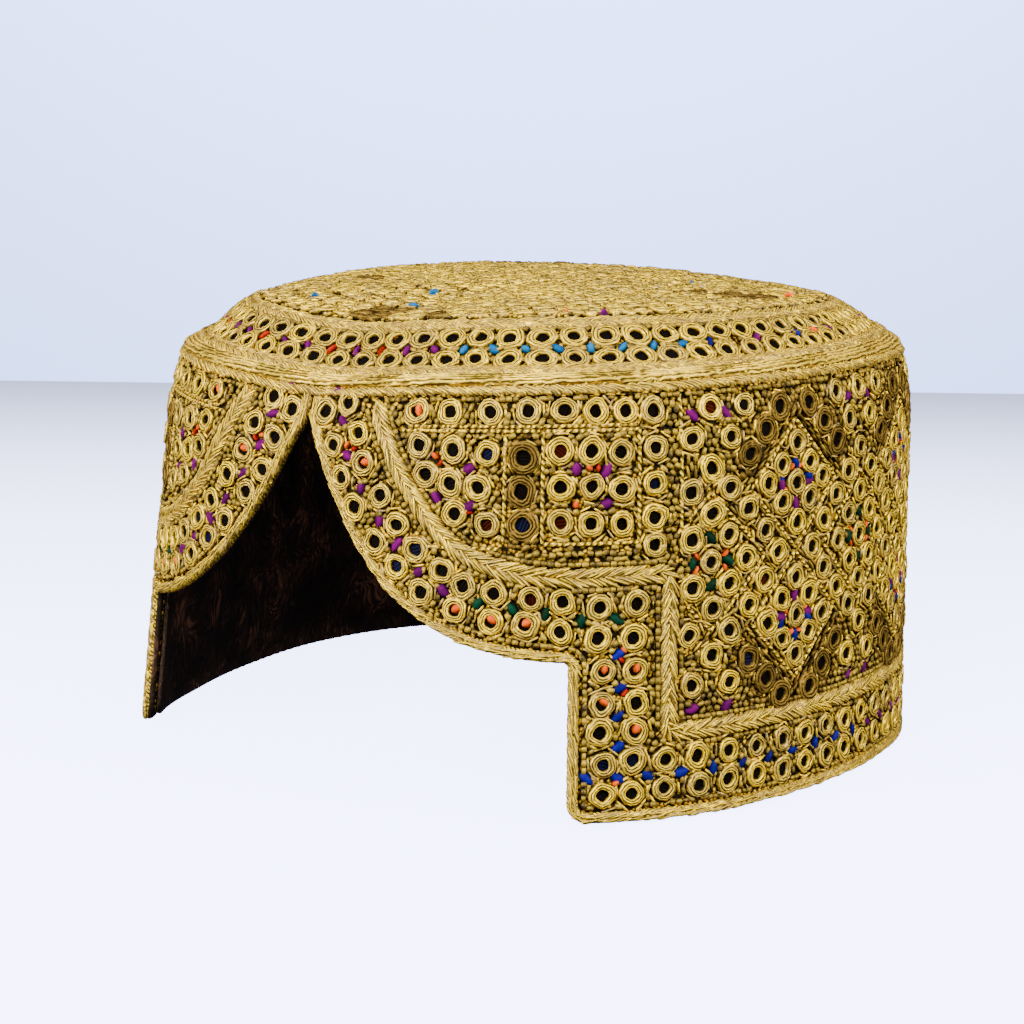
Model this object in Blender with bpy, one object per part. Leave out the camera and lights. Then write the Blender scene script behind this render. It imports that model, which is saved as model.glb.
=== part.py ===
"""Sindhi cap: a stiff round cloth wall with an arched cut-out at the front, a low flat
crown, a dark lining, one piping round every free edge and four plaited braids.

The wall is laid out like a cutting pattern. A place on it is (along, height): along is
the distance round the wall from the front centre, positive toward +X, and height is
measured up the cloth from the hem. The front of the cap faces -Y and it stands on z = 0.
"""

from bisect import bisect_right
from math import atan2, cos, hypot, pi, radians, sin

import bmesh
import bpy

# Cap, in metres
CAP_RADIUS = 0.092  # mean outer radius at the crown seam
WALL_HEIGHT = 0.0967  # hem to crown seam
HEM_FLARE = 0.006  # how far the hem stands out past the seam
SEAM_DIP = 0.005  # how far the seam sags at the front centre
CROWN_RISE = 0.0159  # crown seam to the middle of the crown
WALL_CLOTH = 0.002
CROWN_CLOTH = 0.002
LINING_CLOTH = 0.001
SEWN_GAP = 0.0003  # space left between touching pieces

# Cut-out at the front, measured to the outer edge of its piping
OPENING_HALF_WIDTH = 0.0695
STEP_HEIGHT = 0.0367  # top of the two upright edges
ARCH_HEIGHT = 0.092  # where the two sides of the arch come together
SLIT_HALF_WIDTH = 0.0003
STEP_FILLET = 0.001
HEM_CORNER_RADIUS = 0.005
PIPING_DIAMETER = 0.003

# Braids
FRAME_BRAID_WIDTH = 0.004
FRAME_BRAID_THICKNESS = 0.0012
ARCH_BORDER = 0.0195  # arch edge to the middle of the frame braid
SIDE_BORDER = 0.0237  # upright edge to the middle of the frame braid
HEM_BORDER = 0.0200  # hem to the middle of the frame braid
FRAME_CORNER_RADIUS = 0.003
RING_BRAID_WIDTH = 0.0036
RING_BRAID_THICKNESS = 0.0012
TOP_BRAID_RISE = 0.0010  # middle of the side top braid above the crown seam

# Azimuth from the front centre toward +X in degrees, then the seam's radius as a share
# of CAP_RADIUS, the flare as a share of HEM_FLARE, the seam's rise as a share of SEAM_DIP
OUTLINE = (
    (0, 0.969, 1.50, -1.03),
    (20, 0.989, 1.35, -0.57),
    (40, 1.036, 1.11, -0.22),
    (60, 1.022, 0.82, -0.06),
    (80, 0.990, 0.53, 0.07),
    (100, 0.990, 0.32, 0.16),
    (120, 1.009, 0.23, 0.18),
    (140, 0.999, 0.29, 0.16),
    (160, 0.955, 0.45, 0.13),
    (180, 0.956, 0.68, 0.12),
    (200, 1.019, 0.91, 0.13),
    (220, 1.068, 1.09, 0.16),
    (240, 1.064, 1.22, 0.18),
    (260, 1.010, 1.31, 0.16),
    (280, 0.955, 1.38, 0.07),
    (300, 0.965, 1.45, -0.06),
    (320, 1.041, 1.51, -0.22),
    (340, 1.034, 1.54, -0.57),
)
COLUMNS = ("azimuth", "radius", "flare", "dip")

# Crown section from the seam to the middle: share of the seam's radius, share of
# CROWN_RISE. The braids lie on the two short steps named below.
CROWN_SECTION = (
    (1.000, 0.00),
    (0.998, 0.11),
    (0.977, 0.19),
    (0.942, 0.24),
    (0.891, 0.31),
    (0.812, 0.79),
    (0.768, 0.93),
    (0.640, 0.96),
    (0.350, 0.985),
)
CROWN_BRAID_STEP = 3
INNER_BRAID_STEP = 5
LINING_SECTION_ROWS = (2, 4, 5, 6, 8)

# Handles of the arch's curve, as shares of the opening's half width and of the arch's
# height above the step
ARCH_HANDLES = ((0.267, 0.253), (0.494, 0.018))

# Mesh fineness
ARCH_STEPS = 10
FILLET_STEPS = 3
WALL_COLUMN = 0.0113
LOW_ROWS = 2
HIGH_ROWS = 3
RING_STATIONS = 60
CHART_STEPS = 720

THREAD_GOLD = (0.50, 0.33, 0.10, 1.0)
CLOTH_GOLD = (0.36, 0.23, 0.07, 1.0)
LINING_BROWN = (0.025, 0.012, 0.010, 1.0)


def clear_scene():
    for item in list(bpy.data.objects):
        bpy.data.objects.remove(item, do_unlink=True)


def material(name, colour, roughness, metallic):
    made = bpy.data.materials.new(name)
    made.use_nodes = True
    shader = made.node_tree.nodes["Principled BSDF"]
    shader.inputs["Base Color"].default_value = colour
    shader.inputs["Roughness"].default_value = roughness
    shader.inputs["Metallic"].default_value = metallic
    return made


def outline(column, azimuth):
    """Read a column of OUTLINE at any azimuth on a smooth closed curve."""
    rows = len(OUTLINE)
    place = (azimuth / (2 * pi)) % 1.0 * rows
    row = int(place) % rows
    share = place - int(place)
    read = COLUMNS.index(column)
    before, start, end, after = (OUTLINE[(row + step) % rows][read] for step in (-1, 0, 1, 2))
    straight = (end - before) * share
    bend = (2 * before - 5 * start + 4 * end - after) * share**2
    twist = (3 * start - before - 3 * end + after) * share**3
    return start + 0.5 * (straight + bend + twist)


def polar(azimuth, radius, z, outward=0.0):
    """Point at a radius, then moved outward square to the cap's outline."""
    slope = (outline("radius", azimuth + 0.01) - outline("radius", azimuth - 0.01)) / 0.02
    turn = azimuth - atan2(slope, outline("radius", azimuth))
    x = radius * sin(azimuth) + outward * sin(turn)
    y = -radius * cos(azimuth) - outward * cos(turn)
    return (x, y, z)


def wall_radius(azimuth, height):
    lean = max(0.0, 1.0 - height / WALL_HEIGHT)
    return CAP_RADIUS * outline("radius", azimuth) + HEM_FLARE * outline("flare", azimuth) * lean


def measure_girth():
    """Azimuths at even steps and the cloth's length round to each, at half height."""
    azimuths = [2 * pi * step / CHART_STEPS for step in range(CHART_STEPS + 1)]
    rim = [polar(turn, wall_radius(turn, WALL_HEIGHT / 2), 0.0) for turn in azimuths]
    lengths = [0.0]
    for last, here in zip(rim, rim[1:]):
        lengths.append(lengths[-1] + hypot(here[0] - last[0], here[1] - last[1]))
    return azimuths, lengths


AZIMUTHS, LENGTHS = measure_girth()
GIRTH = LENGTHS[-1]
BACK = GIRTH / 2


def azimuth_at(along):
    along %= GIRTH
    step = min(bisect_right(LENGTHS, along) - 1, CHART_STEPS - 1)
    share = (along - LENGTHS[step]) / (LENGTHS[step + 1] - LENGTHS[step])
    return AZIMUTHS[step] + share * (AZIMUTHS[step + 1] - AZIMUTHS[step])


def on_wall(along, height, outward=0.0):
    azimuth = azimuth_at(along)
    sag = SEAM_DIP * outline("dip", azimuth) * min(1.0, height / WALL_HEIGHT)
    return polar(azimuth, wall_radius(azimuth, height), height + sag, outward)


def crown_line(azimuth):
    """Outer section of the crown at one azimuth, as (radius, z) from the seam inward."""
    seam_radius = CAP_RADIUS * outline("radius", azimuth)
    sag = SEAM_DIP * outline("dip", azimuth)
    line = []
    for share, rise in CROWN_SECTION:
        line.append((seam_radius * share, WALL_HEIGHT + CROWN_RISE * rise + sag * share))
    return line + [(0.0, WALL_HEIGHT + CROWN_RISE)]


def facing(start, end):
    """Outward unit normal of a stretch of the crown's section."""
    length = hypot(end[0] - start[0], end[1] - start[1])
    return ((end[1] - start[1]) / length, (start[0] - end[0]) / length)


def on_crown(along, row, outward=0.0):
    """Point of the crown's section row, set off square to the section."""
    azimuth = azimuth_at(along)
    line = crown_line(azimuth)
    radius, z = line[row]
    if row == len(CROWN_SECTION):
        return (0.0, 0.0, z + outward)
    above = facing(line[row], line[row + 1])
    below = facing(line[row - 1], line[row]) if row else (1.0, 0.0)
    if row == 0:
        above = below
    spread = 1.0 + above[0] * below[0] + above[1] * below[1]
    sideways = outward * (above[0] + below[0]) / spread
    upward = outward * (above[1] + below[1]) / spread
    return polar(azimuth, radius, z + upward, sideways)


def arch_edge(share, inset):
    """Point of the arch, from its top at 0 to the step at 1, set back into the cloth."""
    low_left = (SLIT_HALF_WIDTH, STEP_HEIGHT)
    span = OPENING_HALF_WIDTH - SLIT_HALF_WIDTH, ARCH_HEIGHT - STEP_HEIGHT
    shares = ((0.0, 1.0), *ARCH_HANDLES, (1.0, 0.0))
    points = [[low_left[axis] + span[axis] * pair[axis] for axis in (0, 1)] for pair in shares]
    rest = 1.0 - share
    weights = (rest**3, 3 * rest**2 * share, 3 * rest * share**2, share**3)
    slopes = (rest**2, 2 * rest * share, share**2)
    place = [sum(w * p[axis] for w, p in zip(weights, points)) for axis in (0, 1)]
    pull = [
        sum(w * (points[k + 1][axis] - points[k][axis]) for k, w in enumerate(slopes))
        for axis in (0, 1)
    ]
    length = hypot(*pull)
    return (place[0] - inset * pull[1] / length, place[1] + inset * pull[0] / length)


def arc(centre, radius, start_deg, end_deg, steps):
    """Points of an arc on the pattern, both ends included."""
    points = []
    for step in range(steps + 1):
        turn = radians(start_deg + (end_deg - start_deg) * step / steps)
        points.append((centre[0] + radius * cos(turn), centre[1] + radius * sin(turn)))
    return points


def edge_parts(inset):
    """The free edge from the slit's top to the back of the hem, set back into the cloth.

    Returned as its three stretches: slit with arch and step, upright with corner, hem.
    """
    slit_top = WALL_HEIGHT - LINING_CLOTH - SEWN_GAP
    slit = [(SLIT_HALF_WIDTH + inset, slit_top), (SLIT_HALF_WIDTH + inset, ARCH_HEIGHT)]
    arch = [arch_edge((step + 1) / (ARCH_STEPS + 1), inset) for step in range(ARCH_STEPS)]
    step_centre = (OPENING_HALF_WIDTH - STEP_FILLET, STEP_HEIGHT - STEP_FILLET)
    step = arc(step_centre, STEP_FILLET + inset, 90, 0, FILLET_STEPS)
    corner_centre = (OPENING_HALF_WIDTH + HEM_CORNER_RADIUS, HEM_CORNER_RADIUS)
    corner_radius = HEM_CORNER_RADIUS - inset
    corner = arc(corner_centre, corner_radius, 180, 270, FILLET_STEPS)
    hem = run((corner_centre[0], inset), (BACK, inset), WALL_COLUMN)
    return slit + arch + step, corner, hem


def run(start, end, spacing):
    """Places along a straight stretch of the pattern, without its start."""
    length = hypot(end[0] - start[0], end[1] - start[1])
    steps = max(2, round(length / spacing))
    shares = [step / steps for step in range(1, steps + 1)]
    return [tuple(a + (b - a) * share for a, b in zip(start, end)) for share in shares]


def mirrored(path):
    """A path that ends at the back, carried on round the other side of the cap."""
    return path + [(GIRTH - along, height) for along, height in reversed(path[:-1])]


def wall_grid(top_height):
    """Pattern places and faces of the wall, keyed by side, column and row.

    The flap over the cut-out has HIGH_ROWS rows of faces; past the upright edges
    LOW_ROWS more reach the hem. The third list returned is the top edge, all round.
    """
    inset = PIPING_DIAMETER + SEWN_GAP
    flap, corner, hem = edge_parts(inset)
    flap = flap[1:]
    step_level = flap[-1][1]
    columns = []
    for index, (along, height) in enumerate(flap):
        share = index / (len(flap) - 1)
        even = flap[0][0] + (flap[-1][0] - flap[0][0]) * share
        columns.append(((along, height), ((along + even) / 2, top_height), None))
    foot = [corner[0]] + corner[1:] + hem
    columns[-1] = (flap[-1], (flap[-1][0], top_height), corner[0])
    for along, height in foot[1:]:
        columns.append(((along, step_level), (along, top_height), (along, height)))
    places, faces = {}, []
    last = len(columns) - 1
    top_row = LOW_ROWS + HIGH_ROWS
    for side in (1, -1):
        for column, (middle, top, bottom) in enumerate(columns):
            for row in range(LOW_ROWS + HIGH_ROWS + 1):
                if row < LOW_ROWS and bottom is None:
                    continue
                if row < LOW_ROWS:
                    start, end, share = bottom, middle, row / LOW_ROWS
                else:
                    start, end, share = middle, top, (row - LOW_ROWS) / HIGH_ROWS
                along = start[0] + (end[0] - start[0]) * share
                height = start[1] + (end[1] - start[1]) * share
                places[wall_key(side, column, row, last)] = (side * along, height)
        for column in range(last):
            first_row = 0 if columns[column][2] else LOW_ROWS
            for row in range(first_row, top_row):
                face = [(column, row), (column + 1, row), (column + 1, row + 1), (column, row + 1)]
                faces.append([wall_key(side, *corner_at, last) for corner_at in face[::side]])
    rim = [wall_key(1, column, top_row, last) for column in range(last + 1)]
    rim += [wall_key(-1, column, top_row, last) for column in reversed(range(last))]
    return places, faces, rim


def wall_key(side, column, row, last):
    return (1 if column == last else side, column, row)


def cloth(name, sheet, place, thickness, paint):
    """Closed cloth solid: a sheet of keyed faces, thickened inward."""
    mesh = bmesh.new()
    keys = dict.fromkeys(key for face in sheet for key in face)
    points = {key: mesh.verts.new(place(key)) for key in keys}
    for face in sheet:
        mesh.faces.new([points[key] for key in face])
    made = finish(name, mesh, paint, recalculate=False)
    thicken = made.modifiers.new("Cloth thickness", "SOLIDIFY")
    thicken.thickness = thickness
    thicken.offset = -1.0
    thicken.use_even_offset = True
    return made


def finish(name, mesh, paint, recalculate=True):
    if recalculate:
        bmesh.ops.recalc_face_normals(mesh, faces=mesh.faces)
    data = bpy.data.meshes.new(name)
    mesh.to_mesh(data)
    mesh.free()
    data.materials.append(paint)
    data.shade_smooth()
    data.set_sharp_from_angle(angle=radians(50))
    made = bpy.data.objects.new(name, data)
    bpy.context.collection.objects.link(made)
    return made


def sweep(name, rings, closed, paint):
    """Solid through rings of points, joined end to end or capped."""
    mesh = bmesh.new()
    loops = [[mesh.verts.new(point) for point in ring] for ring in rings]
    pairs = list(zip(loops, loops[1:])) + ([(loops[-1], loops[0])] if closed else [])
    for ring, after in pairs:
        for side in range(len(ring)):
            follow = (side + 1) % len(ring)
            mesh.faces.new((ring[side], ring[follow], after[follow], after[side]))
    if not closed:
        mesh.faces.new(loops[0])
        mesh.faces.new(loops[-1])
    return finish(name, mesh, paint)


def braid_section(width, thickness):
    """Section of a flat braid: (across, up) with its foot SEWN_GAP off the cloth."""
    half = width / 2
    return (
        (-0.84 * half, SEWN_GAP),
        (-half, SEWN_GAP + 0.4 * thickness),
        (-0.5 * half, SEWN_GAP + thickness),
        (0.5 * half, SEWN_GAP + thickness),
        (half, SEWN_GAP + 0.4 * thickness),
        (0.84 * half, SEWN_GAP),
    )


def path_normals(path):
    """Unit normal of each place of a pattern path, to the right of its run."""
    normals = []
    for index in range(len(path)):
        start = path[max(index - 1, 0)]
        end = path[min(index + 1, len(path) - 1)]
        length = hypot(end[0] - start[0], end[1] - start[1])
        normals.append(((end[1] - start[1]) / length, (start[0] - end[0]) / length))
    return normals


def build_side_wall(paint):
    places, faces, _ = wall_grid(WALL_HEIGHT - SEWN_GAP)
    return cloth("side_wall", faces, lambda key: on_wall(*places[key]), WALL_CLOTH, paint)


def build_lining(paint):
    """Lining of the wall and the crown in one, set inside the gold cloth."""
    places, faces, rim = wall_grid(WALL_HEIGHT)
    depth = WALL_CLOTH + SEWN_GAP
    crown_depth = CROWN_CLOTH + SEWN_GAP
    rings = [rim] + [[(key, row) for key in rim] for row in LINING_SECTION_ROWS]
    middle = (None, len(CROWN_SECTION))
    for ring, after in zip(rings, rings[1:]):
        for index, key in enumerate(ring):
            follow = (index + 1) % len(ring)
            faces.append([key, ring[follow], after[follow], after[index]])
    for index, key in enumerate(rings[-1]):
        faces.append([key, rings[-1][(index + 1) % len(rim)], middle])

    def place(key):
        if key in places:
            return on_wall(*places[key], -depth)
        rim_key, row = key
        along = places[rim_key][0] if rim_key else 0.0
        return on_crown(along, row, -crown_depth)

    return cloth("lining", faces, place, LINING_CLOTH, paint)


def build_crown(paint):
    places, _, rim = wall_grid(WALL_HEIGHT)
    stations = [places[key][0] for key in rim]
    middle = len(CROWN_SECTION)
    faces = []
    for station in range(len(stations)):
        follow = (station + 1) % len(stations)
        for row in range(middle - 1):
            quad = [(station, row), (follow, row), (follow, row + 1), (station, row + 1)]
            faces.append(quad)
        faces.append([(station, middle - 1), (follow, middle - 1), (0, middle)])
    return cloth("crown", faces, lambda key: on_crown(stations[key[0]], key[1]), CROWN_CLOTH, paint)


def build_rim_piping(paint):
    """Round piping along the slit, arch, step, upright edge and hem, both sides in one.

    Its eight-sided section has a flat side toward the edge, so the hem's lies on z = 0.
    """
    radius = PIPING_DIAMETER / 2
    path = mirrored([place for part in edge_parts(radius) for place in part])
    depth = (WALL_CLOTH + SEWN_GAP + LINING_CLOTH) / 2
    corner_radius = radius / cos(pi / 8)
    turns = [pi / 8 + pi / 4 * side for side in range(8)]
    rings = []
    for (along, height), normal in zip(path, path_normals(path)):
        ring = []
        for turn in turns:
            out, away = corner_radius * sin(turn), corner_radius * cos(turn)
            place = (along + away * normal[0], max(0.0, height + away * normal[1]))
            ring.append(on_wall(*place, out - depth))
        rings.append(ring)
    return sweep("rim_piping", rings, False, paint)


def build_frame_braid(paint):
    """Flat braid that follows the cut-out's edge and runs on above the hem."""
    top = WALL_HEIGHT + TOP_BRAID_RISE - (RING_BRAID_WIDTH + FRAME_BRAID_WIDTH) / 2 - SEWN_GAP
    arch = [arch_edge(step / (2 * ARCH_STEPS), ARCH_BORDER) for step in range(2 * ARCH_STEPS)]
    arch = [place for place in arch if place[1] < top]
    turn = FRAME_CORNER_RADIUS
    side = OPENING_HALF_WIDTH + SIDE_BORDER
    shelf = STEP_HEIGHT + ARCH_BORDER
    shoulder = arc((side - turn, shelf - turn), turn, 90, 0, FILLET_STEPS)
    heel = arc((side + turn, HEM_BORDER + turn), turn, 180, 270, FILLET_STEPS)
    shelf_run = run(arch[-1], shoulder[0], WALL_COLUMN / 2)[:-1]
    hem = run(heel[-1], (BACK, HEM_BORDER), WALL_COLUMN)
    path = mirrored(arch + shelf_run + shoulder + heel + hem)
    section = braid_section(FRAME_BRAID_WIDTH, FRAME_BRAID_THICKNESS)
    rings = []
    for (along, height), normal in zip(path, path_normals(path)):
        ring = []
        for across, up in section:
            ring.append(on_wall(along + across * normal[0], height + across * normal[1], up))
        rings.append(ring)
    return sweep("frame_braid", rings, False, paint)


def build_side_top_braid(paint):
    """Braid that covers the seam between the wall and the crown."""
    section = braid_section(RING_BRAID_WIDTH, RING_BRAID_THICKNESS)
    middle = WALL_HEIGHT + TOP_BRAID_RISE
    rings = []
    for step in range(RING_STATIONS):
        along = GIRTH * step / RING_STATIONS
        rings.append([on_wall(along, middle - across, up) for across, up in section])
    return sweep("side_top_braid", rings, True, paint)


def build_crown_braid(name, step_row, paint):
    """Braid that lies on one short step of the crown's section."""
    section = braid_section(RING_BRAID_WIDTH, RING_BRAID_THICKNESS)
    rings = []
    for step in range(RING_STATIONS):
        azimuth = azimuth_at(GIRTH * step / RING_STATIONS)
        start, end = crown_line(azimuth)[step_row : step_row + 2]
        normal = facing(start, end)
        middle = ((start[0] + end[0]) / 2, (start[1] + end[1]) / 2)
        ring = []
        for across, up in section:
            sideways = up * normal[0] + across * normal[1]
            z = middle[1] + up * normal[1] - across * normal[0]
            ring.append(polar(azimuth, middle[0], z, sideways))
        rings.append(ring)
    return sweep(name, rings, True, paint)


def stand_in_middle(pieces):
    """Parent the pieces to an empty that puts the box's middle over the origin."""
    bpy.context.view_layer.update()
    holder = bpy.data.objects.new("cap", None)
    bpy.context.collection.objects.link(holder)
    points = [vertex.co for piece in pieces for vertex in piece.data.vertices]
    for axis in (0, 1):
        values = [point[axis] for point in points]
        holder.location[axis] = -(min(values) + max(values)) / 2
    for piece in pieces:
        piece.parent = holder


def build_cap():
    clear_scene()
    wall_gold = material("Embroidered wall cloth", CLOTH_GOLD, 0.7, 0.2)
    crown_gold = material("Embroidered crown cloth", CLOTH_GOLD, 0.7, 0.2)
    lining_brown = material("Dark lining cloth", LINING_BROWN, 0.85, 0.0)
    piping_gold = material("Gold thread piping", THREAD_GOLD, 0.45, 0.5)
    frame_gold = material("Gold thread frame braid", THREAD_GOLD, 0.45, 0.5)
    top_gold = material("Gold thread top braid", THREAD_GOLD, 0.45, 0.5)
    crown_braid_gold = material("Gold thread crown braid", THREAD_GOLD, 0.45, 0.5)
    inner_braid_gold = material("Gold thread inner braid", THREAD_GOLD, 0.45, 0.5)
    pieces = [
        build_side_wall(wall_gold),
        build_crown(crown_gold),
        build_lining(lining_brown),
        build_rim_piping(piping_gold),
        build_frame_braid(frame_gold),
        build_side_top_braid(top_gold),
        build_crown_braid("crown_braid", CROWN_BRAID_STEP, crown_braid_gold),
        build_crown_braid("inner_crown_braid", INNER_BRAID_STEP, inner_braid_gold),
    ]
    stand_in_middle(pieces)


build_cap()
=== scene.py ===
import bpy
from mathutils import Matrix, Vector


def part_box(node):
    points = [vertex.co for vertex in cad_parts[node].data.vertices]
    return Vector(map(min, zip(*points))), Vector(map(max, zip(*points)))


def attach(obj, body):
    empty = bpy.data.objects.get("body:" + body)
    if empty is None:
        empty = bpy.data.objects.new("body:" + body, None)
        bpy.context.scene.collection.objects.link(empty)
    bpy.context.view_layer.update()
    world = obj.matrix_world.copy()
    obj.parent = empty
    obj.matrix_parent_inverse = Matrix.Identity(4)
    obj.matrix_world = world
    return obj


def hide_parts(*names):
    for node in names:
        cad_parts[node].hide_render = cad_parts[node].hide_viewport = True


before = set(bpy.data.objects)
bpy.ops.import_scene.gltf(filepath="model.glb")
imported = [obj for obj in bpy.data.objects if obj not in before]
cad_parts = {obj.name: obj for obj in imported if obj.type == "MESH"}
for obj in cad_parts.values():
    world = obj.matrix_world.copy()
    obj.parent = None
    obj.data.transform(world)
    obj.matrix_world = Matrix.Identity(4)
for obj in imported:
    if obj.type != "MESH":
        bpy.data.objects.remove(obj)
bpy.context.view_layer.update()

from math import pi

import bpy
import numpy as np
from mathutils import Matrix, Vector

bpy.ops.object.select_all(action="DESELECT")


# Wall cloth: the stiff band of dark cotton that goes round the head, arched and stepped
# at the front. Gold thread covers it so closely that little of the cotton shows.

CAP_RADIUS = 0.092
WALL_HEIGHT = 0.0967
HEM_FLARE = 0.006
SEAM_DIP = 0.005
WALL_CLOTH = 0.002
OPENING_HALF_WIDTH = 0.0695
STEP_HEIGHT = 0.0367
ARCH_HEIGHT = 0.092
SLIT_HALF_WIDTH = 0.0003
HEEL_RADIUS = 0.005  # the rounded corner between the upright edge and the hem
PIPING_RADIUS = 0.0015
EDGE_INSET = PIPING_RADIUS  # the cloth is tucked under the piping
ARCH_HANDLES = ((0.267, 0.253), (0.494, 0.018))
RELIEF = 0.0010  # the cloth lies this far under the outside of its embroidery
SHOULDER_SOFTNESS = 0.0022  # the worn edge of wall and crown is rounded in by this much
SHOULDER_FOOT, SHOULDER_RUN = 0.082, 0.0147  # where on the wall that begins, and over what

# Azimuth from the front, then the seam's radius, the hem's flare and the seam's rise as
# shares of CAP_RADIUS, HEM_FLARE and SEAM_DIP. The rows are those of the CAD part, read
# every 20 degrees off a smooth curve that a program fitted to the photo's outline.
OUTLINE = np.array(
    (
        (0, 0.969, 1.50, -1.03), (20, 0.989, 1.35, -0.57), (40, 1.036, 1.11, -0.22),
        (60, 1.022, 0.82, -0.06), (80, 0.990, 0.53, 0.07), (100, 0.990, 0.32, 0.16),
        (120, 1.009, 0.23, 0.18), (140, 0.999, 0.29, 0.16), (160, 0.955, 0.45, 0.13),
        (180, 0.956, 0.68, 0.12), (200, 1.019, 0.91, 0.13), (220, 1.068, 1.09, 0.16),
        (240, 1.064, 1.22, 0.18), (260, 1.010, 1.31, 0.16), (280, 0.955, 1.38, 0.07),
        (300, 0.965, 1.45, -0.06), (320, 1.041, 1.51, -0.22), (340, 1.034, 1.54, -0.57),
    )
)
RADIUS, FLARE, DIP = 1, 2, 3


def outline(column, azimuth):
    """A column of OUTLINE at any azimuth, on a smooth closed curve."""
    rows = len(OUTLINE)
    place = (np.asarray(azimuth, float) / (2 * pi)) % 1.0 * rows
    row = np.floor(place).astype(int) % rows
    share = place - np.floor(place)
    before, start, end, after = (OUTLINE[(row + step) % rows, column] for step in (-1, 0, 1, 2))
    straight = (end - before) * share
    bend = (2 * before - 5 * start + 4 * end - after) * share**2
    twist = (3 * start - before - 3 * end + after) * share**3
    return start + 0.5 * (straight + bend + twist)


def round_cap(azimuth, radius, height, outward):
    """Points at a radius, then moved outward square to the cap's outline."""
    slope = (outline(RADIUS, azimuth + 0.01) - outline(RADIUS, azimuth - 0.01)) / 0.02
    turn = azimuth - np.arctan2(slope, outline(RADIUS, azimuth))
    x = radius * np.sin(azimuth) + outward * np.sin(turn) + MIDDLE[0]
    y = -radius * np.cos(azimuth) - outward * np.cos(turn) + MIDDLE[1]
    return np.stack(np.broadcast_arrays(x, y, height), -1)


def wall_radius(azimuth, height):
    lean = np.maximum(0.0, 1.0 - height / WALL_HEIGHT)
    turned_in = SHOULDER_SOFTNESS * np.clip((height - SHOULDER_FOOT) / SHOULDER_RUN, 0.0, 1.1) ** 2
    seam = CAP_RADIUS * outline(RADIUS, azimuth) - turned_in
    return seam + HEM_FLARE * outline(FLARE, azimuth) * lean


def run_lengths(line):
    """The length from a line's start to each of its points."""
    return np.concatenate([[0.0], np.cumsum(np.linalg.norm(np.diff(line, axis=0), axis=1))])


MIDDLE = np.zeros(2)
AZIMUTHS = np.linspace(0, 2 * pi, 721)
LENGTHS = run_lengths(round_cap(AZIMUTHS, wall_radius(AZIMUTHS, WALL_HEIGHT / 2), 0.0, 0.0))
GIRTH = LENGTHS[-1]
BACK = GIRTH / 2
seam = round_cap(AZIMUTHS, CAP_RADIUS * outline(RADIUS, AZIMUTHS), 0.0, 0.0)[:, :2]
crown_low, crown_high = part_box("crown")
MIDDLE = np.array((crown_low + crown_high)[:2]) / 2 - (seam.min(0) + seam.max(0)) / 2


def azimuth_at(along):
    return np.interp(np.asarray(along, float) % GIRTH, LENGTHS, AZIMUTHS)


def on_wall(along, height, outward=0.0):
    """The cap's outside, by the length round from the front and the height."""
    azimuth = azimuth_at(along)
    sag = SEAM_DIP * outline(DIP, azimuth) * np.minimum(1.0, height / WALL_HEIGHT)
    return round_cap(azimuth, wall_radius(azimuth, height), height + sag, outward)


def unit(rows):
    return rows / np.linalg.norm(rows, axis=1, keepdims=True)


def arch_line(inset, steps=60):
    """The arch from its top to the step as (along, height) rows, set back into the cloth."""
    share = np.linspace(0, 1, steps + 1)[:, None]
    span = np.array((OPENING_HALF_WIDTH - SLIT_HALF_WIDTH, ARCH_HEIGHT - STEP_HEIGHT))
    shares = np.array(((0.0, 1.0), *ARCH_HANDLES, (1.0, 0.0)))
    start, first, second, end = np.array((SLIT_HALF_WIDTH, STEP_HEIGHT)) + span * shares
    rest = 1 - share
    line = rest**3 * start + 3 * rest**2 * share * first + 3 * rest * share**2 * second
    line = line + share**3 * end
    pull = rest**2 * (first - start) + 2 * rest * share * (second - first)
    pull = unit(pull + share**2 * (end - second))
    return line + inset * np.stack([-pull[:, 1], pull[:, 0]], -1)


def shape(piece, place):
    """Move every vertex of a piece: place takes and gives rows of x, y, z."""
    corners = np.empty(len(piece.data.vertices) * 3)
    piece.data.vertices.foreach_get("co", corners)
    piece.data.vertices.foreach_set("co", place(corners.reshape(-1, 3)).ravel())
    piece.data.update()


def flat_grid(name, columns, rows):
    """A unit grid from 0 to 1 both ways, to be cut and bent into a cloth piece."""
    bpy.ops.mesh.primitive_grid_add(x_subdivisions=columns, y_subdivisions=rows, size=1.0)
    grid = bpy.context.object
    grid.name = grid.data.name = name
    shape(grid, lambda at: at + (0.5, 0.5, 0.0))
    return grid


def join_up(*pieces):
    """Join cloth pieces and sew their meeting edges together."""
    bpy.ops.object.select_all(action="DESELECT")
    for piece in pieces:
        piece.select_set(True)
    bpy.context.view_layer.objects.active = pieces[0]
    if len(pieces) > 1:
        bpy.ops.object.join()
    bpy.ops.object.mode_set(mode="EDIT")
    bpy.ops.mesh.select_all(action="SELECT")
    bpy.ops.mesh.remove_doubles(threshold=0.00002)
    bpy.ops.object.mode_set(mode="OBJECT")
    return pieces[0]


def thicken(piece, thickness):
    """Give a cloth its thickness, inward from the face that shows."""
    bpy.ops.object.select_all(action="DESELECT")
    piece.select_set(True)
    bpy.context.view_layer.objects.active = piece
    cloth = piece.modifiers.new("Thickness", "SOLIDIFY")
    cloth.thickness = thickness
    cloth.offset = -1.0
    bpy.ops.object.modifier_apply(modifier=cloth.name)
    piece.data.shade_smooth()


def spread(share, stations):
    """Lengths at shares of a row of stations."""
    return np.interp(share * (len(stations) - 1), np.arange(len(stations)), stations)


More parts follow.
